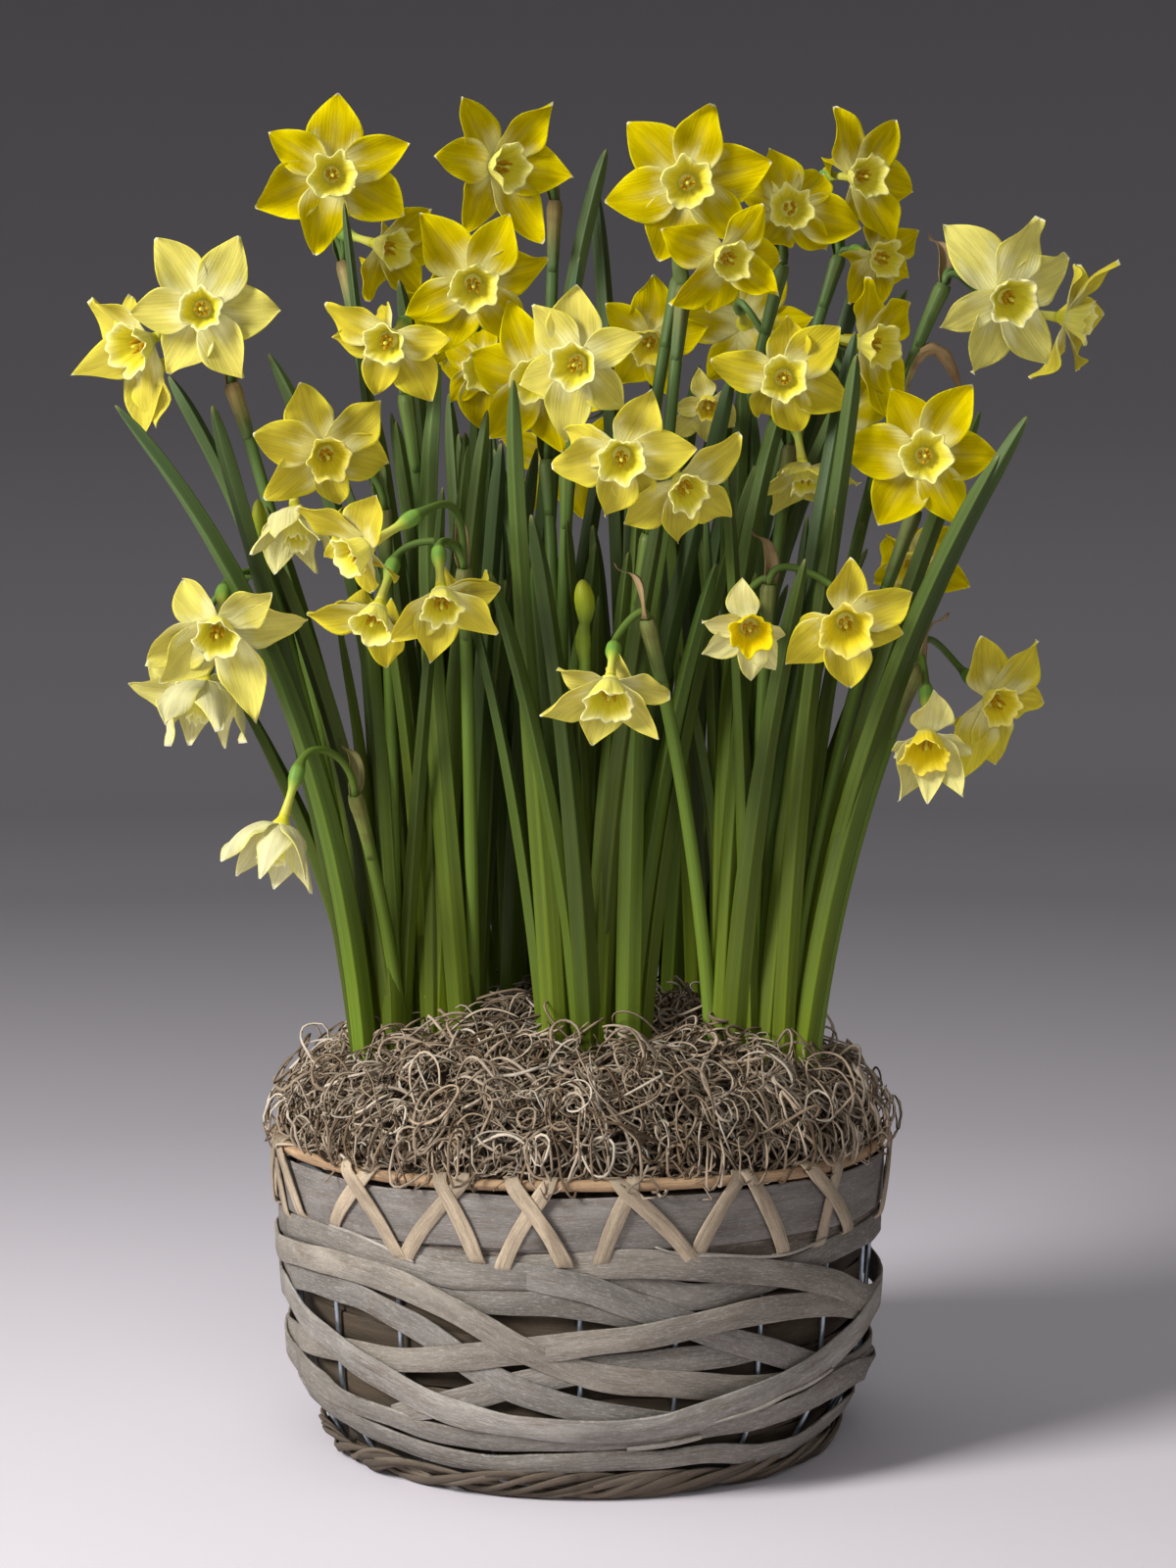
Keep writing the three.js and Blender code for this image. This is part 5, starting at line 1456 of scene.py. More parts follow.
def neck_form(form, clump):
    """The white-green neck in which a clump's leaves and stems start"""
    count = 24
    turns = (np.arange(count) + 0.5) * 2 * np.pi / count
    across = np.sign(np.cos(turns)) * np.sqrt(np.abs(np.cos(turns)))
    along = np.sign(np.sin(turns)) * np.sqrt(np.abs(np.sin(turns)))
    rings = []
    for share in np.linspace(0, 1, 7):
        out_x = nose_span(clump) / 2 + 5 + 2.5 * share
        out_y = 7 + 4 * share
        z = BULB_TOP + GAP + (NECK_TOP - BULB_TOP) * share
        bumps = 1 + 0.05 * np.cos(9 * turns)
        ring = np.stack([clump["x"] + out_x * across * bumps, clump["y"] + out_y * along * bumps, np.full(count, z)], -1)
        rings.append(ring)
    rings = np.array(rings)
    stops = [(0, rgb(206, 204, 170)), (0.5, rgb(186, 196, 130)), (1, rgb(120, 150, 60))]
    tint = blend(stops, np.linspace(0, 1, 7))[:, None]
    flow = np.stack(np.broadcast_arrays(rings[..., 2], (turns * 10)[None], 3.1), -1)
    form.loft(rings, tint, flow, 0)


# The arched sheath: the first bloom on its stem, and places (px, py) with half widths in mm
ARCH_STEM = 24
ARCH_PLACES = [(921, 408, 1.3), (926, 382, 2.0), (937, 361, 2.6), (952, 354, 2.6), (966, 364, 2.7), (977, 389, 1.6), (980, 398, 0.5)]


def arched_sheath(form, stems):
    """The dry sheath that arches out from the stem of the right-hand pale bloom"""
    path = next(row["path"] for row in stems if row["stalks"][0]["bloom"]["id"] == ARCH_STEM)
    y = path.point(0.93)[1]
    points = np.array([spot(px, py, y) for px, py, _ in ARCH_PLACES])
    keys = np.arange(len(points))
    at = np.linspace(0, keys[-1], 22)
    middle = np.stack([np.interp(at, keys, points[:, axis]) for axis in range(3)], -1)
    for _ in range(2):
        middle[1:-1] = (middle[:-2] + 2 * middle[1:-1] + middle[2:]) / 4
    half = np.interp(at, keys, [wide for _, _, wide in ARCH_PLACES])
    along = unit(np.gradient(middle, axis=0))
    across = unit(np.cross(along, vec(0, -1, 0)))
    s = np.linspace(-1, 1, 7)
    bulge = (1.8 * (1 - s**2) + 0.4 * np.cos(s * 9))[None, :, None] * (half / 3)[:, None, None]
    crimp = 1 + 0.12 * np.sin(at * 7)[:, None, None]
    front = middle[:, None] + across[:, None] * (half[:, None] * s)[..., None] * crimp - vec(0, 1, 0) * bulge
    rings = np.concatenate([front, front[:, ::-1] + vec(0, 0.4, 0)], 1)
    tint = blend([(0, rgb(160, 156, 80)), (0.3, rgb(176, 148, 104)), (1, rgb(150, 116, 80))], at / keys[-1])
    form.loft(rings, tint[:, None], flow_of(middle, 14, 77, 4), 1)


def dress_greens(looks, stems, buds, leaves):
    for number, (name, clump) in enumerate(CLUMPS.items()):
        draw = seeded(500 + number)
        form = Form()
        neck_form(form, clump)
        for seed, row in enumerate(leaf_row for leaf_row in leaves if leaf_row["clump"] == name):
            leaf(form, row["path"], row["turn"], draw, seed + number * 40, row.get("wide", 0.9))
        for seed, row in enumerate(row for row in stems if row["clump"] == name):
            stem(form, row["path"], draw, seed + 9)
            for order, stalk in enumerate(row["stalks"]):
                stalk_form(form, stalk, draw, seed * 3 + order)
            sheath(form, row, draw, seed)
            if row["stalks"][0]["bloom"]["id"] == ARCH_STEM:
                arched_sheath(form, stems)
        for seed, row in enumerate(row for row in buds if row["clump"] == name):
            stem(form, row["path"], draw, seed + 60)
            bud_form(form, row, draw, seed)
        form.piece("plants_" + name, ["greens_" + name], [looks["leaf"], looks["paper"]])


# Basket
STRIP_SIDES = 8
FLAT_ACROSS = np.array([-1, -0.92, 0.92, 1, 1, 0.92, -0.92, -1])
FLAT_DEEP = np.array([0.25, 0.5, 0.5, 0.25, -0.25, -0.5, -0.5, -0.25])


def on_wall(px, py, out=0.0):
    """Angle and height where the sight line of a pixel meets the basket's wall, or None"""
    sight = spot(px, py, 0) - EYE
    height = 60.0
    for _ in range(6):
        radius = wall_radius(height) + out
        a = sight[0] ** 2 + sight[1] ** 2
        b = 2 * (EYE[0] * sight[0] + EYE[1] * sight[1])
        c = EYE[0] ** 2 + EYE[1] ** 2 - radius**2
        inside = b * b - 4 * a * c
        if inside < 0:
            return None
        near = EYE + sight * (-b - math.sqrt(inside)) / (2 * a)
        height = near[2]
    return math.atan2(near[0], -near[1]), height


# Painted light on a flat strip, by its ring of points: painted highlights on the outer face, most at its edges, and
# painted shade on the inner face.
FLAT_PAINTED_LIGHT = np.array([1.3, 1.05, 1.05, 1.3, 0.9, 0.8, 0.8, 0.9])


def flat_strip(form, angles, heights, outs, width, thickness, tint, seed, closed=False, camber=0.0):
    """A flat strip laid round the wall, through angles (radians), heights and distances out"""
    radii = wall_radius(heights) * 0.994 + outs
    points = around(angles, radii, heights)
    if closed:
        ahead = np.roll(points, -1, 0) - np.roll(points, 1, 0)
    else:
        ahead = np.gradient(points, axis=0)
    along = unit(ahead)
    slope = np.gradient(wall_radius(np.linspace(0, 125, 126)) * 0.994)
    rise = np.interp(heights, np.arange(126), slope)
    outward = unit(around(angles, 1.0, -rise))
    outward = unit(outward - along * np.sum(outward * along, -1, keepdims=True))
    across = np.cross(along, outward)
    width = np.broadcast_to(width, heights.shape)
    reach = across[:, None] * (width[:, None] / 2 * FLAT_ACROSS)[..., None]
    depth = thickness * FLAT_DEEP + camber * (1 - FLAT_ACROSS**2)
    rings = points[:, None] + reach + outward[:, None] * np.broadcast_to(depth, (len(points), 8))[..., None]
    flow_along = np.broadcast_to(lengths(points)[:, None], rings.shape[:2])
    flow_across = width[:, None] / 2 * FLAT_ACROSS + np.zeros_like(flow_along)
    flow = np.stack([flow_along, flow_across, np.full(rings.shape[:2], seed * 13.7)], -1)
    # Painted light: a lighter outer face and edges, a darker inner face.
    wear_and_painted_light = FLAT_PAINTED_LIGHT[:, None] * np.asarray(tint)[..., None, :]
    form.loft(rings, wear_and_painted_light, flow, 0, closed=closed)


def through(places, at):
    """Smooth values through places [(angle, value...)], by cubic pieces"""
    table = np.array(places, float)
    keys, values = table[:, 0], table[:, 1:]
    slopes = np.gradient(values, keys, axis=0)
    i = np.clip(np.searchsorted(keys, at) - 1, 0, len(keys) - 2)
    span = keys[i + 1] - keys[i]
    t = ((at - keys[i]) / span)[:, None]
    span = span[:, None]
    result = (2 * t**3 - 3 * t**2 + 1) * values[i] + (t**3 - 2 * t**2 + t) * span * slopes[i]
    return result + (3 * t**2 - 2 * t**3) * values[i + 1] + (t**3 - t**2) * span * slopes[i + 1]


# Outer strips by the pixels of their middle lines across the front, from left to right, with
# how far out they lie there (mm). Each has how light it is at the left and right end and its
# width (mm). Rings run on round the back.
RING_STRIPS = [
    (1.08, 0.8, 10.2, [(287, 1272, 2.6), (320, 1283, 2.6), (350, 1291, 2.6), (380, 1300, 2.6), (420, 1315, 2.6), (460, 1335, 2.6), (500, 1358, 2.6), (530, 1376, 2.2), (560, 1390, 1.2), (600, 1404, 0.2), (640, 1411, -0.2), (690, 1414, -0.6), (750, 1418, -0.8), (820, 1412, -0.8), (880, 1392, -0.8)]),
    (1.1, 1.16, 10.6, [(291, 1312, 1.4), (310, 1345, 1.6), (340, 1372, 1.8), (370, 1393, 2.0), (400, 1411, 2.0), (430, 1428, 1.8), (460, 1441, 1.8), (500, 1451, 2.0), (560, 1459, 2.2), (600, 1461, 2.4), (650, 1459, 2.6), (700, 1449, 2.8), (750, 1432, 3.0), (800, 1412, 3.0), (840, 1388, 3.0), (870, 1360, 2.8), (888, 1335, 2.4)]),
    (0.98, 0.8, 10.2, [(305, 1392, 1.0), (330, 1415, 1.0), (360, 1433, 1.0), (400, 1448, 0.9), (440, 1462, 0.8), (480, 1469, 0.6), (540, 1471, 0.4), (600, 1471, 0.3), (640, 1469, 0.3), (680, 1465, 0.3), (740, 1455, 0.4), (780, 1449, 0.6), (820, 1432, 0.9), (860, 1408, 1.0)]),
    (1.0, 0.88, 10.0, [(300, 1364, -0.3), (350, 1379, 0.0), (400, 1388, 0.6), (440, 1388, 0.8), (480, 1385, 0.8), (520, 1381, 0.8), (551, 1378, 1.2), (600, 1371, 2.2), (650, 1365, 2.4), (700, 1355, 2.4), (750, 1343, 2.4), (800, 1334, 2.2), (850, 1330, 1.8), (885, 1334, 1.4)]),
    (0.86, 0.72, 10.2, [(288, 1297, -0.4), (310, 1306, 0.0), (340, 1316, 0.6), (370, 1326, 1.0), (400, 1342, 0.8), (430, 1360, 0.2), (455, 1378, -0.4), (480, 1396, -0.2), (510, 1413, 0.4), (560, 1431, 0.6), (600, 1442, 0.4), (680, 1453, -0.2), (760, 1450, -0.4), (840, 1428, -0.4), (872, 1405, -0.4)]),
    (0.84, 0.76, 9.8, [(290, 1249, 0.2), (330, 1262, 0.8), (380, 1280, 1.2), (415, 1291, 0.6), (460, 1302, 0.6), (500, 1304, 0.6), (540, 1305, 0.2), (600, 1303, -0.2), (650, 1308, -0.2), (700, 1324, 0.0), (740, 1321, 0.0), (780, 1309, -0.4), (820, 1293, -0.4), (850, 1277, -0.2), (885, 1260, 0.0)]),
    (0.74, 0.96, 10.6, [(290, 1276, -0.6), (340, 1289, -0.6), (400, 1292, -0.6), (460, 1297, -0.6), (520, 1297, -0.4), (600, 1292, 0.4), (650, 1290, 1.6), (700, 1292, 2.2), (760, 1296, 2.4), (800, 1300, 2.4), (850, 1309, 2.2), (885, 1325, 1.8)]),
    (0.76, 0.84, 10.2, [(300, 1262, -0.6), (420, 1284, -0.6), (480, 1296, -0.2), (520, 1301, 0.4), (560, 1308, 1.0), (600, 1316, 1.2), (640, 1331, 1.0), (680, 1344, 0.6), (740, 1366, 0.2), (780, 1377, 0.4), (810, 1386, 0.4), (840, 1396, 0.0), (874, 1402, -0.4)]),
    (0.8, 0.86, 9.6, [(316, 1425, -0.4), (340, 1442, -0.4), (380, 1462, -0.2), (420, 1478, 0.0), (460, 1489, 0.2), (500, 1495, 0.4), (560, 1495, 0.4), (620, 1492, 0.4), (680, 1490, 0.6), (720, 1484, 1.0), (780, 1483, 1.2), (820, 1470, 1.0), (845, 1450, 0.8)]),
]
SHORT_STRIPS = [
    (0.66, 0.7, 9.6, [(430, 1316, -0.6), (480, 1328, -0.4), (520, 1331, -0.2), (560, 1332, -0.2), (600, 1337, -0.4), (650, 1346, -0.6), (700, 1354, -0.8)]),
    (0.9, 0.62, 9.8, [(400, 1442, -0.2), (440, 1436, 0.2), (480, 1427, 0.2), (520, 1416, -0.4), (560, 1408, -0.6), (600, 1400, -0.8), (650, 1395, -0.8), (700, 1389, -0.8), (740, 1385, -0.8), (790, 1376, -0.8)]),
    # The thin pale strips from here on are painted highlights along the edges of strips.
    (1.5, 1.6, 1.2, [(335, 1250, 1.8), (360, 1259, 1.8), (400, 1277, 1.8), (421, 1288, 1.6)]),
    (1.4, 1.3, 1.0, [(668, 1272, 3.4), (690, 1279, 3.0), (740, 1281, 3.0), (800, 1280, 2.8), (842, 1263, 2.6)]),
    (1.3, 1.8, 1.3, [(712, 1455, 3.6), (740, 1447, 3.8), (770, 1437, 4.0), (800, 1422, 4.0), (820, 1413, 4.0), (846, 1396, 4.0)]),
    (1.4, 1.5, 2.2, [(640, 1479, 1.4), (680, 1474, 1.8), (716, 1466, 1.9)]),
]
STRIP_COLOUR = rgb(146, 140, 131)
STRIP_HUES = np.array([[1.03, 1.0, 0.955], [0.99, 1.0, 1.03], [1.0, 1.0, 1.0]])
BACK_SWING = 22


def strip_places(pixels):
    """The measured middle line as rows of angle, height and distance out"""
    found = [(on_wall(px, py, 1.5), out) for px, py, out in pixels]
    return np.array([(*place, out) for place, out in found if place])


def dress_outer_weave(looks):
    form = Form()
    draw = seeded(77)
    for seed, (left, right, wide, pixels) in enumerate(RING_STRIPS):
        places = strip_places(pixels)
        first, last = places[0], places[-1]
        rest = 2 * np.pi - (last[0] - first[0])
        shares = np.linspace(0, 1, 11)[1:-1]
        swing = BACK_SWING * (draw() - 0.5) * 2
        beat = 1 + draw()
        back = last[1] + (first[1] - last[1]) * smooth(0, 1, shares)
        back = back + swing * np.sin(np.pi * shares * 2 * beat) * np.sin(np.pi * shares)
        outs = last[2] + (first[2] - last[2]) * shares
        behind = np.stack([last[0] + rest * shares, np.clip(back, 18, 90), outs], -1)
        loop = np.concatenate([places, behind, [[first[0] + 2 * np.pi, first[1], first[2]]]])
        at = np.arange(first[0], first[0] + 2 * np.pi, math.radians(2.2))[:-1]
        values = through(loop, at)
        ripple = 0.25 * np.sin(at * 10 + seed * 2) + 0.2 * np.sin(at * 23 + seed)
        width = wide + 0.45 * np.sin(at * 7 + seed) + 0.3 * np.sin(at * 19 + seed * 3)
        light = np.interp(at, [first[0], last[0], last[0] + rest], [left, right, left])
        light = light * (1 + 0.06 * np.sin(at * 5 + seed * 2.3))
        tone = STRIP_COLOUR * STRIP_HUES[seed % 3] * light[:, None]
        flat_strip(form, at, values[:, 0], values[:, 1] + ripple, width, STRIP, tone, seed, True)
    for seed, (left, right, wide, pixels) in enumerate(SHORT_STRIPS):
        places = strip_places(pixels)
        at = np.linspace(places[0][0], places[-1][0], 40)
        values = through(places, at)
        width = wide * (1 - 0.3 * np.abs(np.linspace(-1, 1, 40)) ** 6)
        tone = STRIP_COLOUR * np.linspace(left, right, 40)[:, None]
        flat_strip(form, at, values[:, 0], values[:, 1], width, min(STRIP, wide * 0.6), tone, seed + 30)
    form.piece("outer_strips", ["woven_strips"], [looks["cane"]])


def dress_inner_weave(looks):
    form = Form()
    draw = seeded(31)
    at = np.radians(np.arange(0, 360, 3))
    level = 9.0
    seed = 0
    while level < 118:
        width = 9.5 + 3 * draw()
        wobble = 0.8 * np.sin(at * 3 + draw() * 6) + 0.5 * np.sin(at * 7 + draw() * 6)
        heights = level + width / 2 + wobble
        heights = np.minimum(heights, 119 - width / 2)
        side = 1 if seed % 2 else -1
        outs = -(STRIP + WIRE + 3.2) + side * 0.8 * np.cos(at * SIDES / 2)
        tone = rgb(96, 84, 70) * (0.45 + 0.6 * draw())
        flat_strip(form, at, heights, outs, width, 1.2, tone, seed + 40, True)
        level += width * 0.97
        seed += 1
    form.piece("inner_strips", ["inner_weave"], [looks["weave"]])


def dress_foot(looks):
    """A rough braid of thin split canes"""
    form = Form()
    draw = seeded(19)
    count = 240
    at = np.linspace(0, 2 * np.pi, count, endpoint=False)
    for strand in range(7):
        phase = strand * 2 * np.pi / 7 + draw()
        beat = 7 + strand % 3 * 2
        heights = 6.2 + 3.7 * np.sin(at * beat + phase) + 1.2 * np.sin(at * 5 + strand)
        heights = np.maximum(heights, 1.9)
        outs = 1.0 + 1.9 * np.cos(at * beat + phase) + 0.6 * np.sin(at * 7 + strand)
        tone = rgb(112, 101, 88) * (0.55 + 0.1 * strand)
        width = 2.7 + 0.7 * np.sin(at * 13 + strand) + 0.5 * draw()
        flat_strip(form, at, heights, outs, width, 1.1, tone, 60 + strand, True)
    form.piece("foot_braid", ["foot_waling"], [looks["weave"]])


def dress_band(looks):
    """The flat splint under the hoop, lapped at the front, and a darker one set in below it"""
    form = Form()
    at = np.radians(np.linspace(-20, 354, 124))
    lapped = smooth(np.radians(320), np.radians(340), at)
    heights = 109.6 + 1.1 * lapped + 0.4 * np.sin(at * 3) + 0.25 * np.sin(at * 11)
    tucked = smooth(np.radians(0), np.radians(-8), at)
    outs = 0.3 + 0.9 * lapped - 0.7 * tucked + 0.2 * np.sin(at * 9)
    light = 0.86 + 0.3 * smooth(np.radians(300), np.radians(275), at) * smooth(np.radians(200), np.radians(250), at)
    tone = rgb(140, 134, 128) * light[:, None]
    flat_strip(form, at, heights, outs, 20.2, 1.3, tone, 90)
    ring = np.linspace(0, 2 * np.pi, 120, endpoint=False)
    sunk = 95.5 + 0.8 * np.sin(ring * 2 + 1)
    flat_strip(form, ring, sunk, -1.2 + 0.2 * np.sin(ring * 8), 12.5, 1.2, rgb(112, 101, 90), 91, True)
    form.piece("splint_band", ["top_band"], [looks["band"]])


def dress_hoop(looks):
    form = Form()
    at = np.linspace(0, 2 * np.pi, 160, endpoint=False)
    radius = wall_radius(RIM_HEIGHT) - 0.8 + 0.5 * np.sin(at * 3)
    height = RIM_HEIGHT + 0.9 + 0.6 * np.sin(at * 4 + 1)
    points = around(at, radius, height)
    outward = around(at, 1.0, 0.0)
    turns = np.arange(10) * 2 * np.pi / 10
    thick = 2.25 * (1 + 0.08 * np.sin(at * 9))
    reach = outward[:, None] * (thick[:, None] * np.cos(turns))[..., None]
    rings = points[:, None] + reach + vec(0, 0, 1) * (thick[:, None] * np.sin(turns))[..., None]
    tone = rgb(192, 158, 122) * (1 + 0.12 * np.sin(at * 5))[:, None]
    flow = np.stack(np.broadcast_arrays(at[:, None] * 122, (turns * 2.6)[None], 5.5), -1)
    form.loft(rings, tone[:, None], flow, 0, closed=True)
    form.piece("rim_rod", ["rim_hoop"], [looks["hoop"]])


# Ties over the hoop at the front: the pixel where each leaves the hoop and the one at its foot
TIES = [
    ((350, 1188), (407, 1282)), ((378, 1190), (340, 1250)),
    ((446, 1202), (487, 1287)), ((475, 1206), (412, 1287)),
    ((520, 1207), (577, 1292)), ((562, 1207), (512, 1300)),
    ((628, 1208), (710, 1292)), ((648, 1204), (613, 1290)),
    ((764, 1202), (800, 1280)), ((757, 1212), (708, 1288)),
    ((824, 1188), (866, 1256)), ((858, 1192), (838, 1270)),
    ((284, 1158), (308, 1240)), ((302, 1172), (286, 1228)),
]
TIE_PITCH = 18
TIE_REACH = 7.0
TIE_FOOT = 96


def tie(form, top, foot, foot_height, seed, tone):
    """A flat cane strip: in under the band, up over it and the hoop, and down inside"""
    low = foot_height
    heights = np.array([low + 1.5, low - 1.2, low + 0.5, 0.5 * low + 58.5, 117.5, 124.2, 127.4, 126.0])
    shares = np.clip((heights - low) / (126 - low), 0, 1) ** 1.25
    shares[-1] = 1.1
    turns = foot + (top - foot) * shares
    outs = np.array([-2.4, -0.6, 1.9, 2.3, 2.6, 3.0, 0.4, -4.0])
    t = np.linspace(0, 7, 29)
    keys = np.arange(8)
    points = [np.interp(t, keys, row) for row in (turns, heights, outs)]
    for _ in range(2):
        points = [np.concatenate([row[:1], (row[:-2] + 2 * row[1:-1] + row[2:]) / 4, row[-1:]]) for row in points]
    at, high, out = points
    radius = wall_radius(np.minimum(high, 123)) * 0.994 + out + (0 if seed % 2 else 0.9) * np.sin(np.pi * t / 7)
    middle = around(at, radius, high)
    along = unit(np.gradient(middle, axis=0))
    side = unit(around(at + np.pi / 2, 1.0, 0.0) * (1.0 if seed % 2 else -1.0))
    side = unit(side - along * np.sum(side * along, -1, keepdims=True))
    normal = np.cross(along, side)
    width = 6.0 + 0.35 * np.sin(t * 2 + seed) - 0.8 * smooth(4, 6, t)
    reach = side[:, None] * (width[:, None] / 2 * FLAT_ACROSS)[..., None]
    rings = middle[:, None] + reach + normal[:, None] * (1.0 * FLAT_DEEP)[None, :, None]
    flow_across = width[:, None] / 2 * FLAT_ACROSS
    flow = np.stack(np.broadcast_arrays(lengths(middle)[:, None], flow_across, seed * 9.1), -1)
    tones = tone * (1 - 0.22 * np.sin(np.pi * t / 7 + seed)[:, None] ** 2)
    form.loft(rings, tones[:, None], flow, 0)


def dress_lashing(looks):
    """Crossed ties of flat cane over the hoop, as measured in front and evenly spaced behind"""
    form = Form()
    draw = seeded(303)
    colour = rgb(200, 181, 155)
    for seed, (top, foot) in enumerate(TIES):
        up, down = on_wall(*top, 2.5), on_wall(*foot, 1.5)
        if up and down:
            tie(form, up[0], down[0], max(down[1], 93), seed, colour * (0.88 + 0.2 * draw()))
    for number in range(12):
        middle = 84 + number * TIE_PITCH + 3 * (draw() - 0.5)
        for way in (-1, 1):
            top = math.radians(middle - way * (2 + 2 * draw()))
            foot = math.radians(middle + way * (TIE_REACH + 3 * draw()))
            seed = 40 + number * 2 + (way > 0)
            tie(form, top, foot, TIE_FOOT + 2 * draw(), seed, colour * (0.86 + 0.2 * draw()))
    form.piece("rim_binding", ["rim_lashing"], [looks["lash"]])


def dress_wires(looks):
    form = Form()
    steps = []
    heights = np.concatenate([np.linspace(6, 116, 14)])
    for i in range(SIDES):
        climb = heights if i % 2 == 0 else heights[::-1]
        for z in climb:
            steps.append((i * 2 * np.pi / SIDES, z, 0))
        top = climb[-1]
        bulge = 3.0 if top > 60 else -1.0
        for share in (0.25, 0.5, 0.75):
            steps.append(((i + share) * 2 * np.pi / SIDES, top + bulge * math.sin(math.pi * share), 0))
    table = np.array(steps)
    radii = wall_radius(table[:, 1]) * 0.994 - STRIP - GAP - WIRE * 0.75
    points = around(table[:, 0], radii, table[:, 1])
    along = unit(np.roll(points, -1, 0) - np.roll(points, 1, 0))
    outward = unit(points * vec(1, 1, 0))
    outward = unit(outward - along * np.sum(outward * along, -1, keepdims=True))
    other = np.cross(along, outward)
    turns = np.arange(8) * 2 * np.pi / 8
    rings = points[:, None] + (outward[:, None] * np.cos(turns)[:, None] + other[:, None] * np.sin(turns)[:, None])
    flow = np.stack(np.broadcast_arrays(lengths(points)[:, None], turns[None], 1.0), -1)
    form.loft(rings, rgb(176, 186, 196), flow, 0, closed=True)
    form.piece("wire_cage", ["wire_stakes"], [looks["wire"]])


def dress_base(looks):
    form = Form()
    radii = np.array([4, BASE_RADIUS * 0.5, BASE_RADIUS - 1, BASE_RADIUS, BASE_RADIUS, BASE_RADIUS - 1, BASE_RADIUS * 0.5, 4])
    heights = np.array([0, 0, 0, 0.8, 3.2, BASE_THICKNESS, BASE_THICKNESS, BASE_THICKNESS])
    turns = np.arange(96) * 2 * np.pi / 96
    rings = around(turns[None], radii[:, None], heights[:, None])
    flow = rings * vec(1, 1, 1)
    form.loft(rings, rgb(120, 108, 90), flow, 0)
    form.piece("base_board", ["basket_base"], [looks["weave"]])


# Moss
MOSS_PROFILE = np.array([(0, 172), (40, 170), (72, 163), (96, 153), (111, 143), (117.5, 133), (115, 125)], float)


def moss_lump(x, y):
    """Knots of moss, from -1 to 1"""
    return np.sin(x / 7.5 + 2) * np.cos(y / 8.5 + 0.6 * np.sin(x / 15))


def moss_mound(x, y):
    return 4 * np.sin(x / 21 + 1) * np.cos(y / 17) + 3 * np.sin((x + y) / 13)


def on_moss(flat, height):
    """Points on the moss: flat (…, 2) is unrolled over the dome, height is out from it"""
    reach = np.linalg.norm(flat, axis=-1)
    steps = lengths(MOSS_PROFILE)
    radius = np.interp(reach, steps, MOSS_PROFILE[:, 0])
    z = np.interp(reach, steps, MOSS_PROFILE[:, 1])
    slope_r = (np.interp(reach + 2, steps, MOSS_PROFILE[:, 0]) - np.interp(reach - 2, steps, MOSS_PROFILE[:, 0])) / 4
    slope_z = (np.interp(reach + 2, steps, MOSS_PROFILE[:, 1]) - np.interp(reach - 2, steps, MOSS_PROFILE[:, 1])) / 4
    size = np.maximum(np.hypot(slope_r, slope_z), 1e-6)
    out_r, out_z = -slope_z / size, slope_r / size
    way = flat / np.maximum(reach, 1e-6)[..., None]
    radius = radius + out_r * height
    x, y = way[..., 0] * radius, way[..., 1] * radius
    mound = moss_mound(x, y) * (1 - smooth(90, 118, reach))
    return np.stack([x, y, z + out_z * height + mound], -1)


STRAND_STEPS = 25


def moss_strands(count, seed, low, high, lift=6.5):
    """Curling threads over the dome, as (count, steps, 3) points and a width for each"""
    rng = np.random.default_rng(seed)
    stride = 2.1
    reach = 139 * rng.random(count) ** 0.45
    turn = rng.random(count) * 2 * np.pi
    place = np.stack([reach * np.cos(turn), reach * np.sin(turn)], -1)
    heading = rng.random(count) * 2 * np.pi
    curl = rng.choice([-1, 1], count) / rng.uniform(3.5, 14.0, count)
    sway = rng.uniform(0.1, 0.4, count)
    phase = rng.random(count) * 2 * np.pi
    base = rng.uniform(low, high, count)
    swing = rng.uniform(2.0, lift, count)
    beat = rng.uniform(0.12, 0.42, count)
    flat = np.empty((count, STRAND_STEPS, 2))
    height = np.empty((count, STRAND_STEPS))
    for i in range(STRAND_STEPS):
        flat[:, i] = place
        height[:, i] = base + swing * np.sin(beat * i + phase)
        heading = heading + stride * curl * (1 + 0.9 * np.sin(sway * i + phase))
        place = place + stride * np.stack([np.cos(heading), np.sin(heading)], -1)
        far = np.linalg.norm(place, axis=1)
        place = place * np.minimum(1, 145 / np.maximum(far, 1e-6))[:, None]
    return on_moss(flat, height), rng.uniform(0.42, 0.82, count), rng


MOSS_TONES = np.array([rgb(178, 162, 142), rgb(156, 138, 117), rgb(198, 186, 168), rgb(130, 112, 92), rgb(104, 86, 66)])


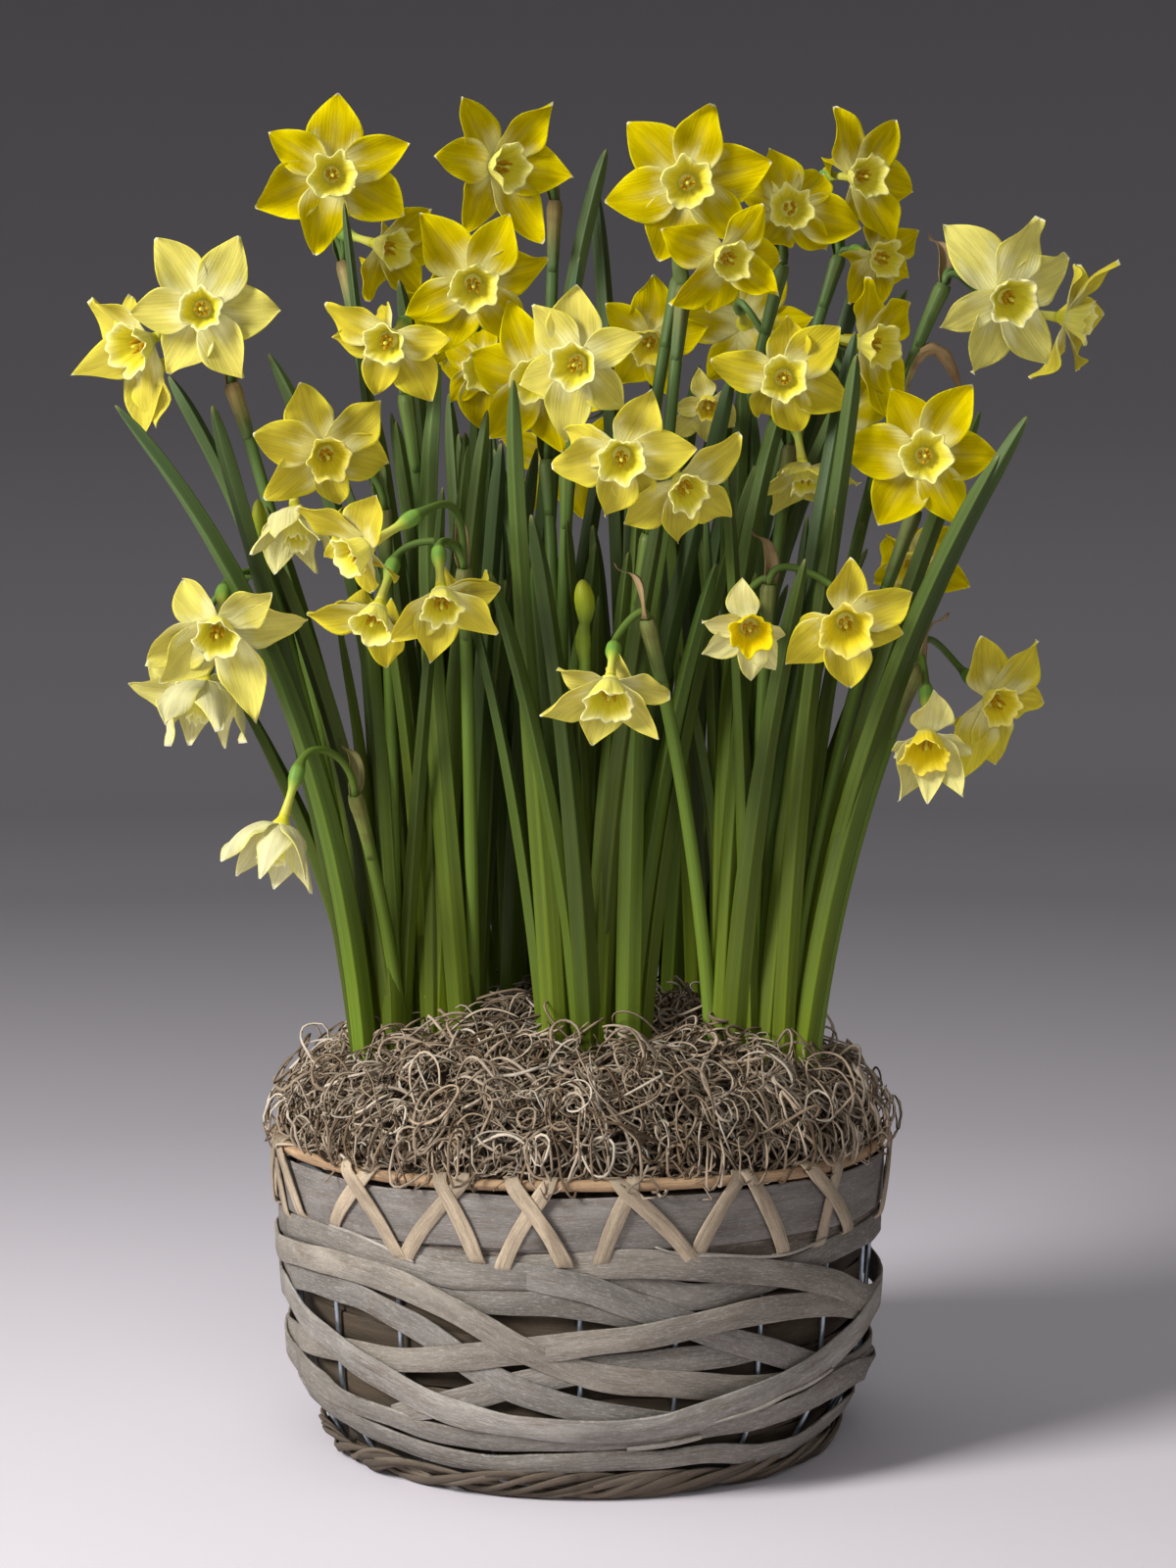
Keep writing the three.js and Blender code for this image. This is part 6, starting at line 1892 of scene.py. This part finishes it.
def strand_piece(name, count, seed, low, high, looks, painted_depth_shade=1.0, lift=6.5):
    points, widths, rng = moss_strands(count, seed, low, high, lift)
    steps = points.shape[1]
    # Painted shade: threads in the dips between the knots of moss are darker, those on the knots lighter.
    knot_shade = moss_lump(points[:, 12, 0], points[:, 12, 1])
    points[..., 2] += 1.8 * moss_lump(points[..., 0], points[..., 1])
    along = unit(np.gradient(points, axis=1))
    side = unit(np.cross(along, np.broadcast_to(vec(0.3, 0.2, 1), along.shape)))
    other = np.cross(along, side)
    taper = np.sin(np.linspace(0.12, np.pi - 0.12, steps)) ** 0.35
    wide = widths[:, None] * taper
    turns = np.arange(3) * 2 * np.pi / 3
    reach = side[:, :, None] * np.cos(turns)[:, None] + other[:, :, None] * np.sin(turns)[:, None]
    rings = points[:, :, None] + reach * wide[:, :, None, None]
    tones = MOSS_TONES[rng.choice(5, count, p=[0.32, 0.3, 0.12, 0.17, 0.09])]
    # Painted shade in the dips between the knots.
    tones = tones * (rng.uniform(0.78, 1.2, count) * (1 + 0.2 * knot_shade))[:, None]
    flow_along = np.linspace(0, steps * 2.1, steps)
    form = Form()
    for i in range(count):
        flow = np.stack(np.broadcast_arrays(flow_along[:, None], turns[None], i * 3.7), -1)
        # Painted shade: lower layers of threads are darkened.
        form.loft(rings[i], tones[i] * painted_depth_shade, flow, 0)
    form.piece(name, ["moss_mat"], [looks["moss"]])


def dress_moss(looks):
    turns = np.arange(84) * 2 * np.pi / 84
    reach = np.concatenate([[0.5], np.linspace(6, 141, 24)])
    flat = np.stack(np.broadcast_arrays(reach[:, None] * np.cos(turns), reach[:, None] * np.sin(turns)), -1)
    lumps = 1.5 * np.sin(flat[..., 0] / 5) * np.cos(flat[..., 1] / 4.3)
    upper = on_moss(flat, -7 + lumps)
    lower = upper[::-1].copy()
    lower[..., 2] = 112.5
    rings = np.concatenate([upper, lower[1:]])
    flow = rings * 1.0
    form = Form()
    # Painted shade: a dark core under the threads, for the shade deep in the moss.
    form.loft(rings, rgb(52, 42, 31), flow, 0)
    form.piece("moss_core", ["moss_mat"], [looks["moss"]])
    share = 1
    # Painted shade: the last number darkens the lower threads, for the shade deep in the moss.
    strand_piece("moss_threads_low", int(560 * share), 5, -6, -1, looks, 0.5)
    strand_piece("moss_threads_mid", int(920 * share), 6, -3, 3, looks, 0.9)
    strand_piece("moss_threads_top", int(950 * share), 7, 0, 8, looks, 1.05)
    strand_piece("moss_threads_loose", int(170 * share), 8, 4, 9, looks, 1.05, 13.0)


# The sweep darkens with distance from the basket, partly its own grey and partly painted shade for the light falling
# off away from the lamps: (metres along it from the origin, grey)
SWEEP_LENGTH = 5.0
SWEEP_GREYS_AND_SHADE = [(0.0, 246), (0.35, 235), (0.75, 212), (1.4, 203), (2.2, 192), (2.9, 158), (3.3, 124), (3.8, 112), (4.6, 104)]


def dress_stage():
    look = Look("studio_sweep", 0.8)
    place = look.node("ShaderNodeAttribute")
    place.attribute_name = "away"
    ramp = look.node("ShaderNodeValToRGB")
    stops = ramp.color_ramp.elements
    # Painted shade: the grey darkens with distance, for light falling off away from the lamps.
    for number, (away, grey) in enumerate(SWEEP_GREYS_AND_SHADE):
        stop = stops[number] if number < 2 else stops.new(away / SWEEP_LENGTH)
        stop.position = away / SWEEP_LENGTH
        stop.color = (*rgb(grey, grey * 0.978, grey * 1.01), 1)
    look.link(place.outputs["Fac"], ramp.inputs["Fac"])
    look.colour(ramp.outputs["Color"])
    look.set("Specular IOR Level", 0.1)
    radii = [0.01, 0.2, 0.4, 0.8, 1.2, 2.1, 2.6, 2.9, 3.05, 3.1, 3.1, 3.1]
    heights = [0, 0, 0, 0, 0, 0, 0.04, 0.16, 0.4, 0.8, 1.2, 1.7]
    away = np.concatenate([[0], np.cumsum(np.hypot(np.diff(radii), np.diff(heights)))])
    turns = np.arange(96) * 2 * np.pi / 96
    points = []
    for radius, height in zip(radii, heights):
        points.extend((radius * math.cos(t), radius * math.sin(t), height - 0.0004) for t in turns)
    faces = []
    for row in range(len(radii) - 1):
        for i in range(96):
            j = (i + 1) % 96
            faces.append((row * 96 + i, row * 96 + j, (row + 1) * 96 + j, (row + 1) * 96 + i))
    faces.append(tuple(range(95, -1, -1)))
    mesh = bpy.data.meshes.new("studio_sweep")
    mesh.from_pydata(points, [], faces)
    mesh.materials.append(look.material)
    mesh.shade_smooth()
    layer = mesh.attributes.new("away", "FLOAT", "POINT")
    layer.data.foreach_set("value", np.repeat(away / SWEEP_LENGTH, 96).astype(np.float32))
    sweep = bpy.data.objects.new("studio_sweep", mesh)
    bpy.context.scene.collection.objects.link(sweep)


def area_light(name, place, target, size, energy, colour=(1, 1, 1)):
    lamp = bpy.data.lights.new(name, "AREA")
    lamp.shape = "DISK"
    lamp.size = size
    lamp.energy = energy
    lamp.color = colour
    made = bpy.data.objects.new(name, lamp)
    made.location = place
    way = np.array(target) - np.array(place)
    yaw = math.atan2(way[0], -way[1])
    tilt = math.atan2(math.hypot(way[0], way[1]), -way[2])
    made.rotation_euler = (-tilt, 0, 0)
    made.rotation_euler = (tilt, 0, yaw + math.pi)
    bpy.context.scene.collection.objects.link(made)


def dress_light():
    world = bpy.data.worlds.new("studio")
    world.use_nodes = True
    backdrop = world.node_tree.nodes["Background"]
    backdrop.inputs["Color"].default_value = (0.98, 0.98, 1, 1)
    backdrop.inputs["Strength"].default_value = 0.1
    bpy.context.scene.world = world
    area_light("key", (-1.5, -1.2, 1.2), (0, 0, 0.2), 0.8, 56, (1, 0.985, 0.965))
    area_light("front", (0.3, -1.9, 0.9), (0, 0, 0.3), 1.0, 7, (1, 0.99, 0.98))
    area_light("top", (-0.1, 0.1, 2.0), (0, 0, 0.2), 1.0, 4)
    bpy.context.scene.view_settings.view_transform = "Standard"


def dress_camera():
    lens = bpy.data.cameras.new("camera")
    lens.lens = 36 * FOCAL / FRAME_HEIGHT
    lens.clip_end = 30
    camera = bpy.data.objects.new("camera", lens)
    camera.location = EYE * MM
    camera.rotation_euler = (math.pi / 2 - PITCH, 0, 0)
    bpy.context.scene.collection.objects.link(camera)
    bpy.context.scene.camera = camera


def finish_hidden_nodes(nodes):
    """The inner nodes keep their own shape, with a finish of their own"""
    soil = dirt_look()
    film = film_look()
    skin = bulb_look()
    kept = {"potting_soil": soil, "liner_film": film}
    kept.update({"bulbs_" + name: skin for name in CLUMPS})
    for name, material in kept.items():
        nodes[name].data.materials.clear()
        nodes[name].data.materials.append(material)


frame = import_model()
dress_camera()
stems = grow_scapes()
buds = grow_buds()
leaves = grow_shown_leaves() + grow_placed_leaves() + grow_filler_leaves() + grow_slender_leaves()
looks = {
    "petal": petal_look(),
    "cup": cup_look(),
    "leaf": leaf_look(),
    "paper": paper_look(),
    "cane": cane_look("grey_cane", 0.75, 0.42),
    "weave": cane_look("dark_cane", 0.85, 0),
    "band": cane_look("splint", 0.75, 0.3),
    "hoop": cane_look("peeled_rod", 0.6, 0),
    "lash": cane_look("binding_cane", 0.65, 0),
    "wire": wire_look(),
    "moss": moss_look(),
}
dress_greens(looks, stems, buds, leaves)
dress_blooms(looks)
dress_outer_weave(looks)
dress_inner_weave(looks)
dress_foot(looks)
dress_band(looks)
dress_hoop(looks)
dress_lashing(looks)
dress_wires(looks)
dress_base(looks)
dress_moss(looks)
finish_hidden_nodes(frame["nodes"])
dress_stage()
dress_light()
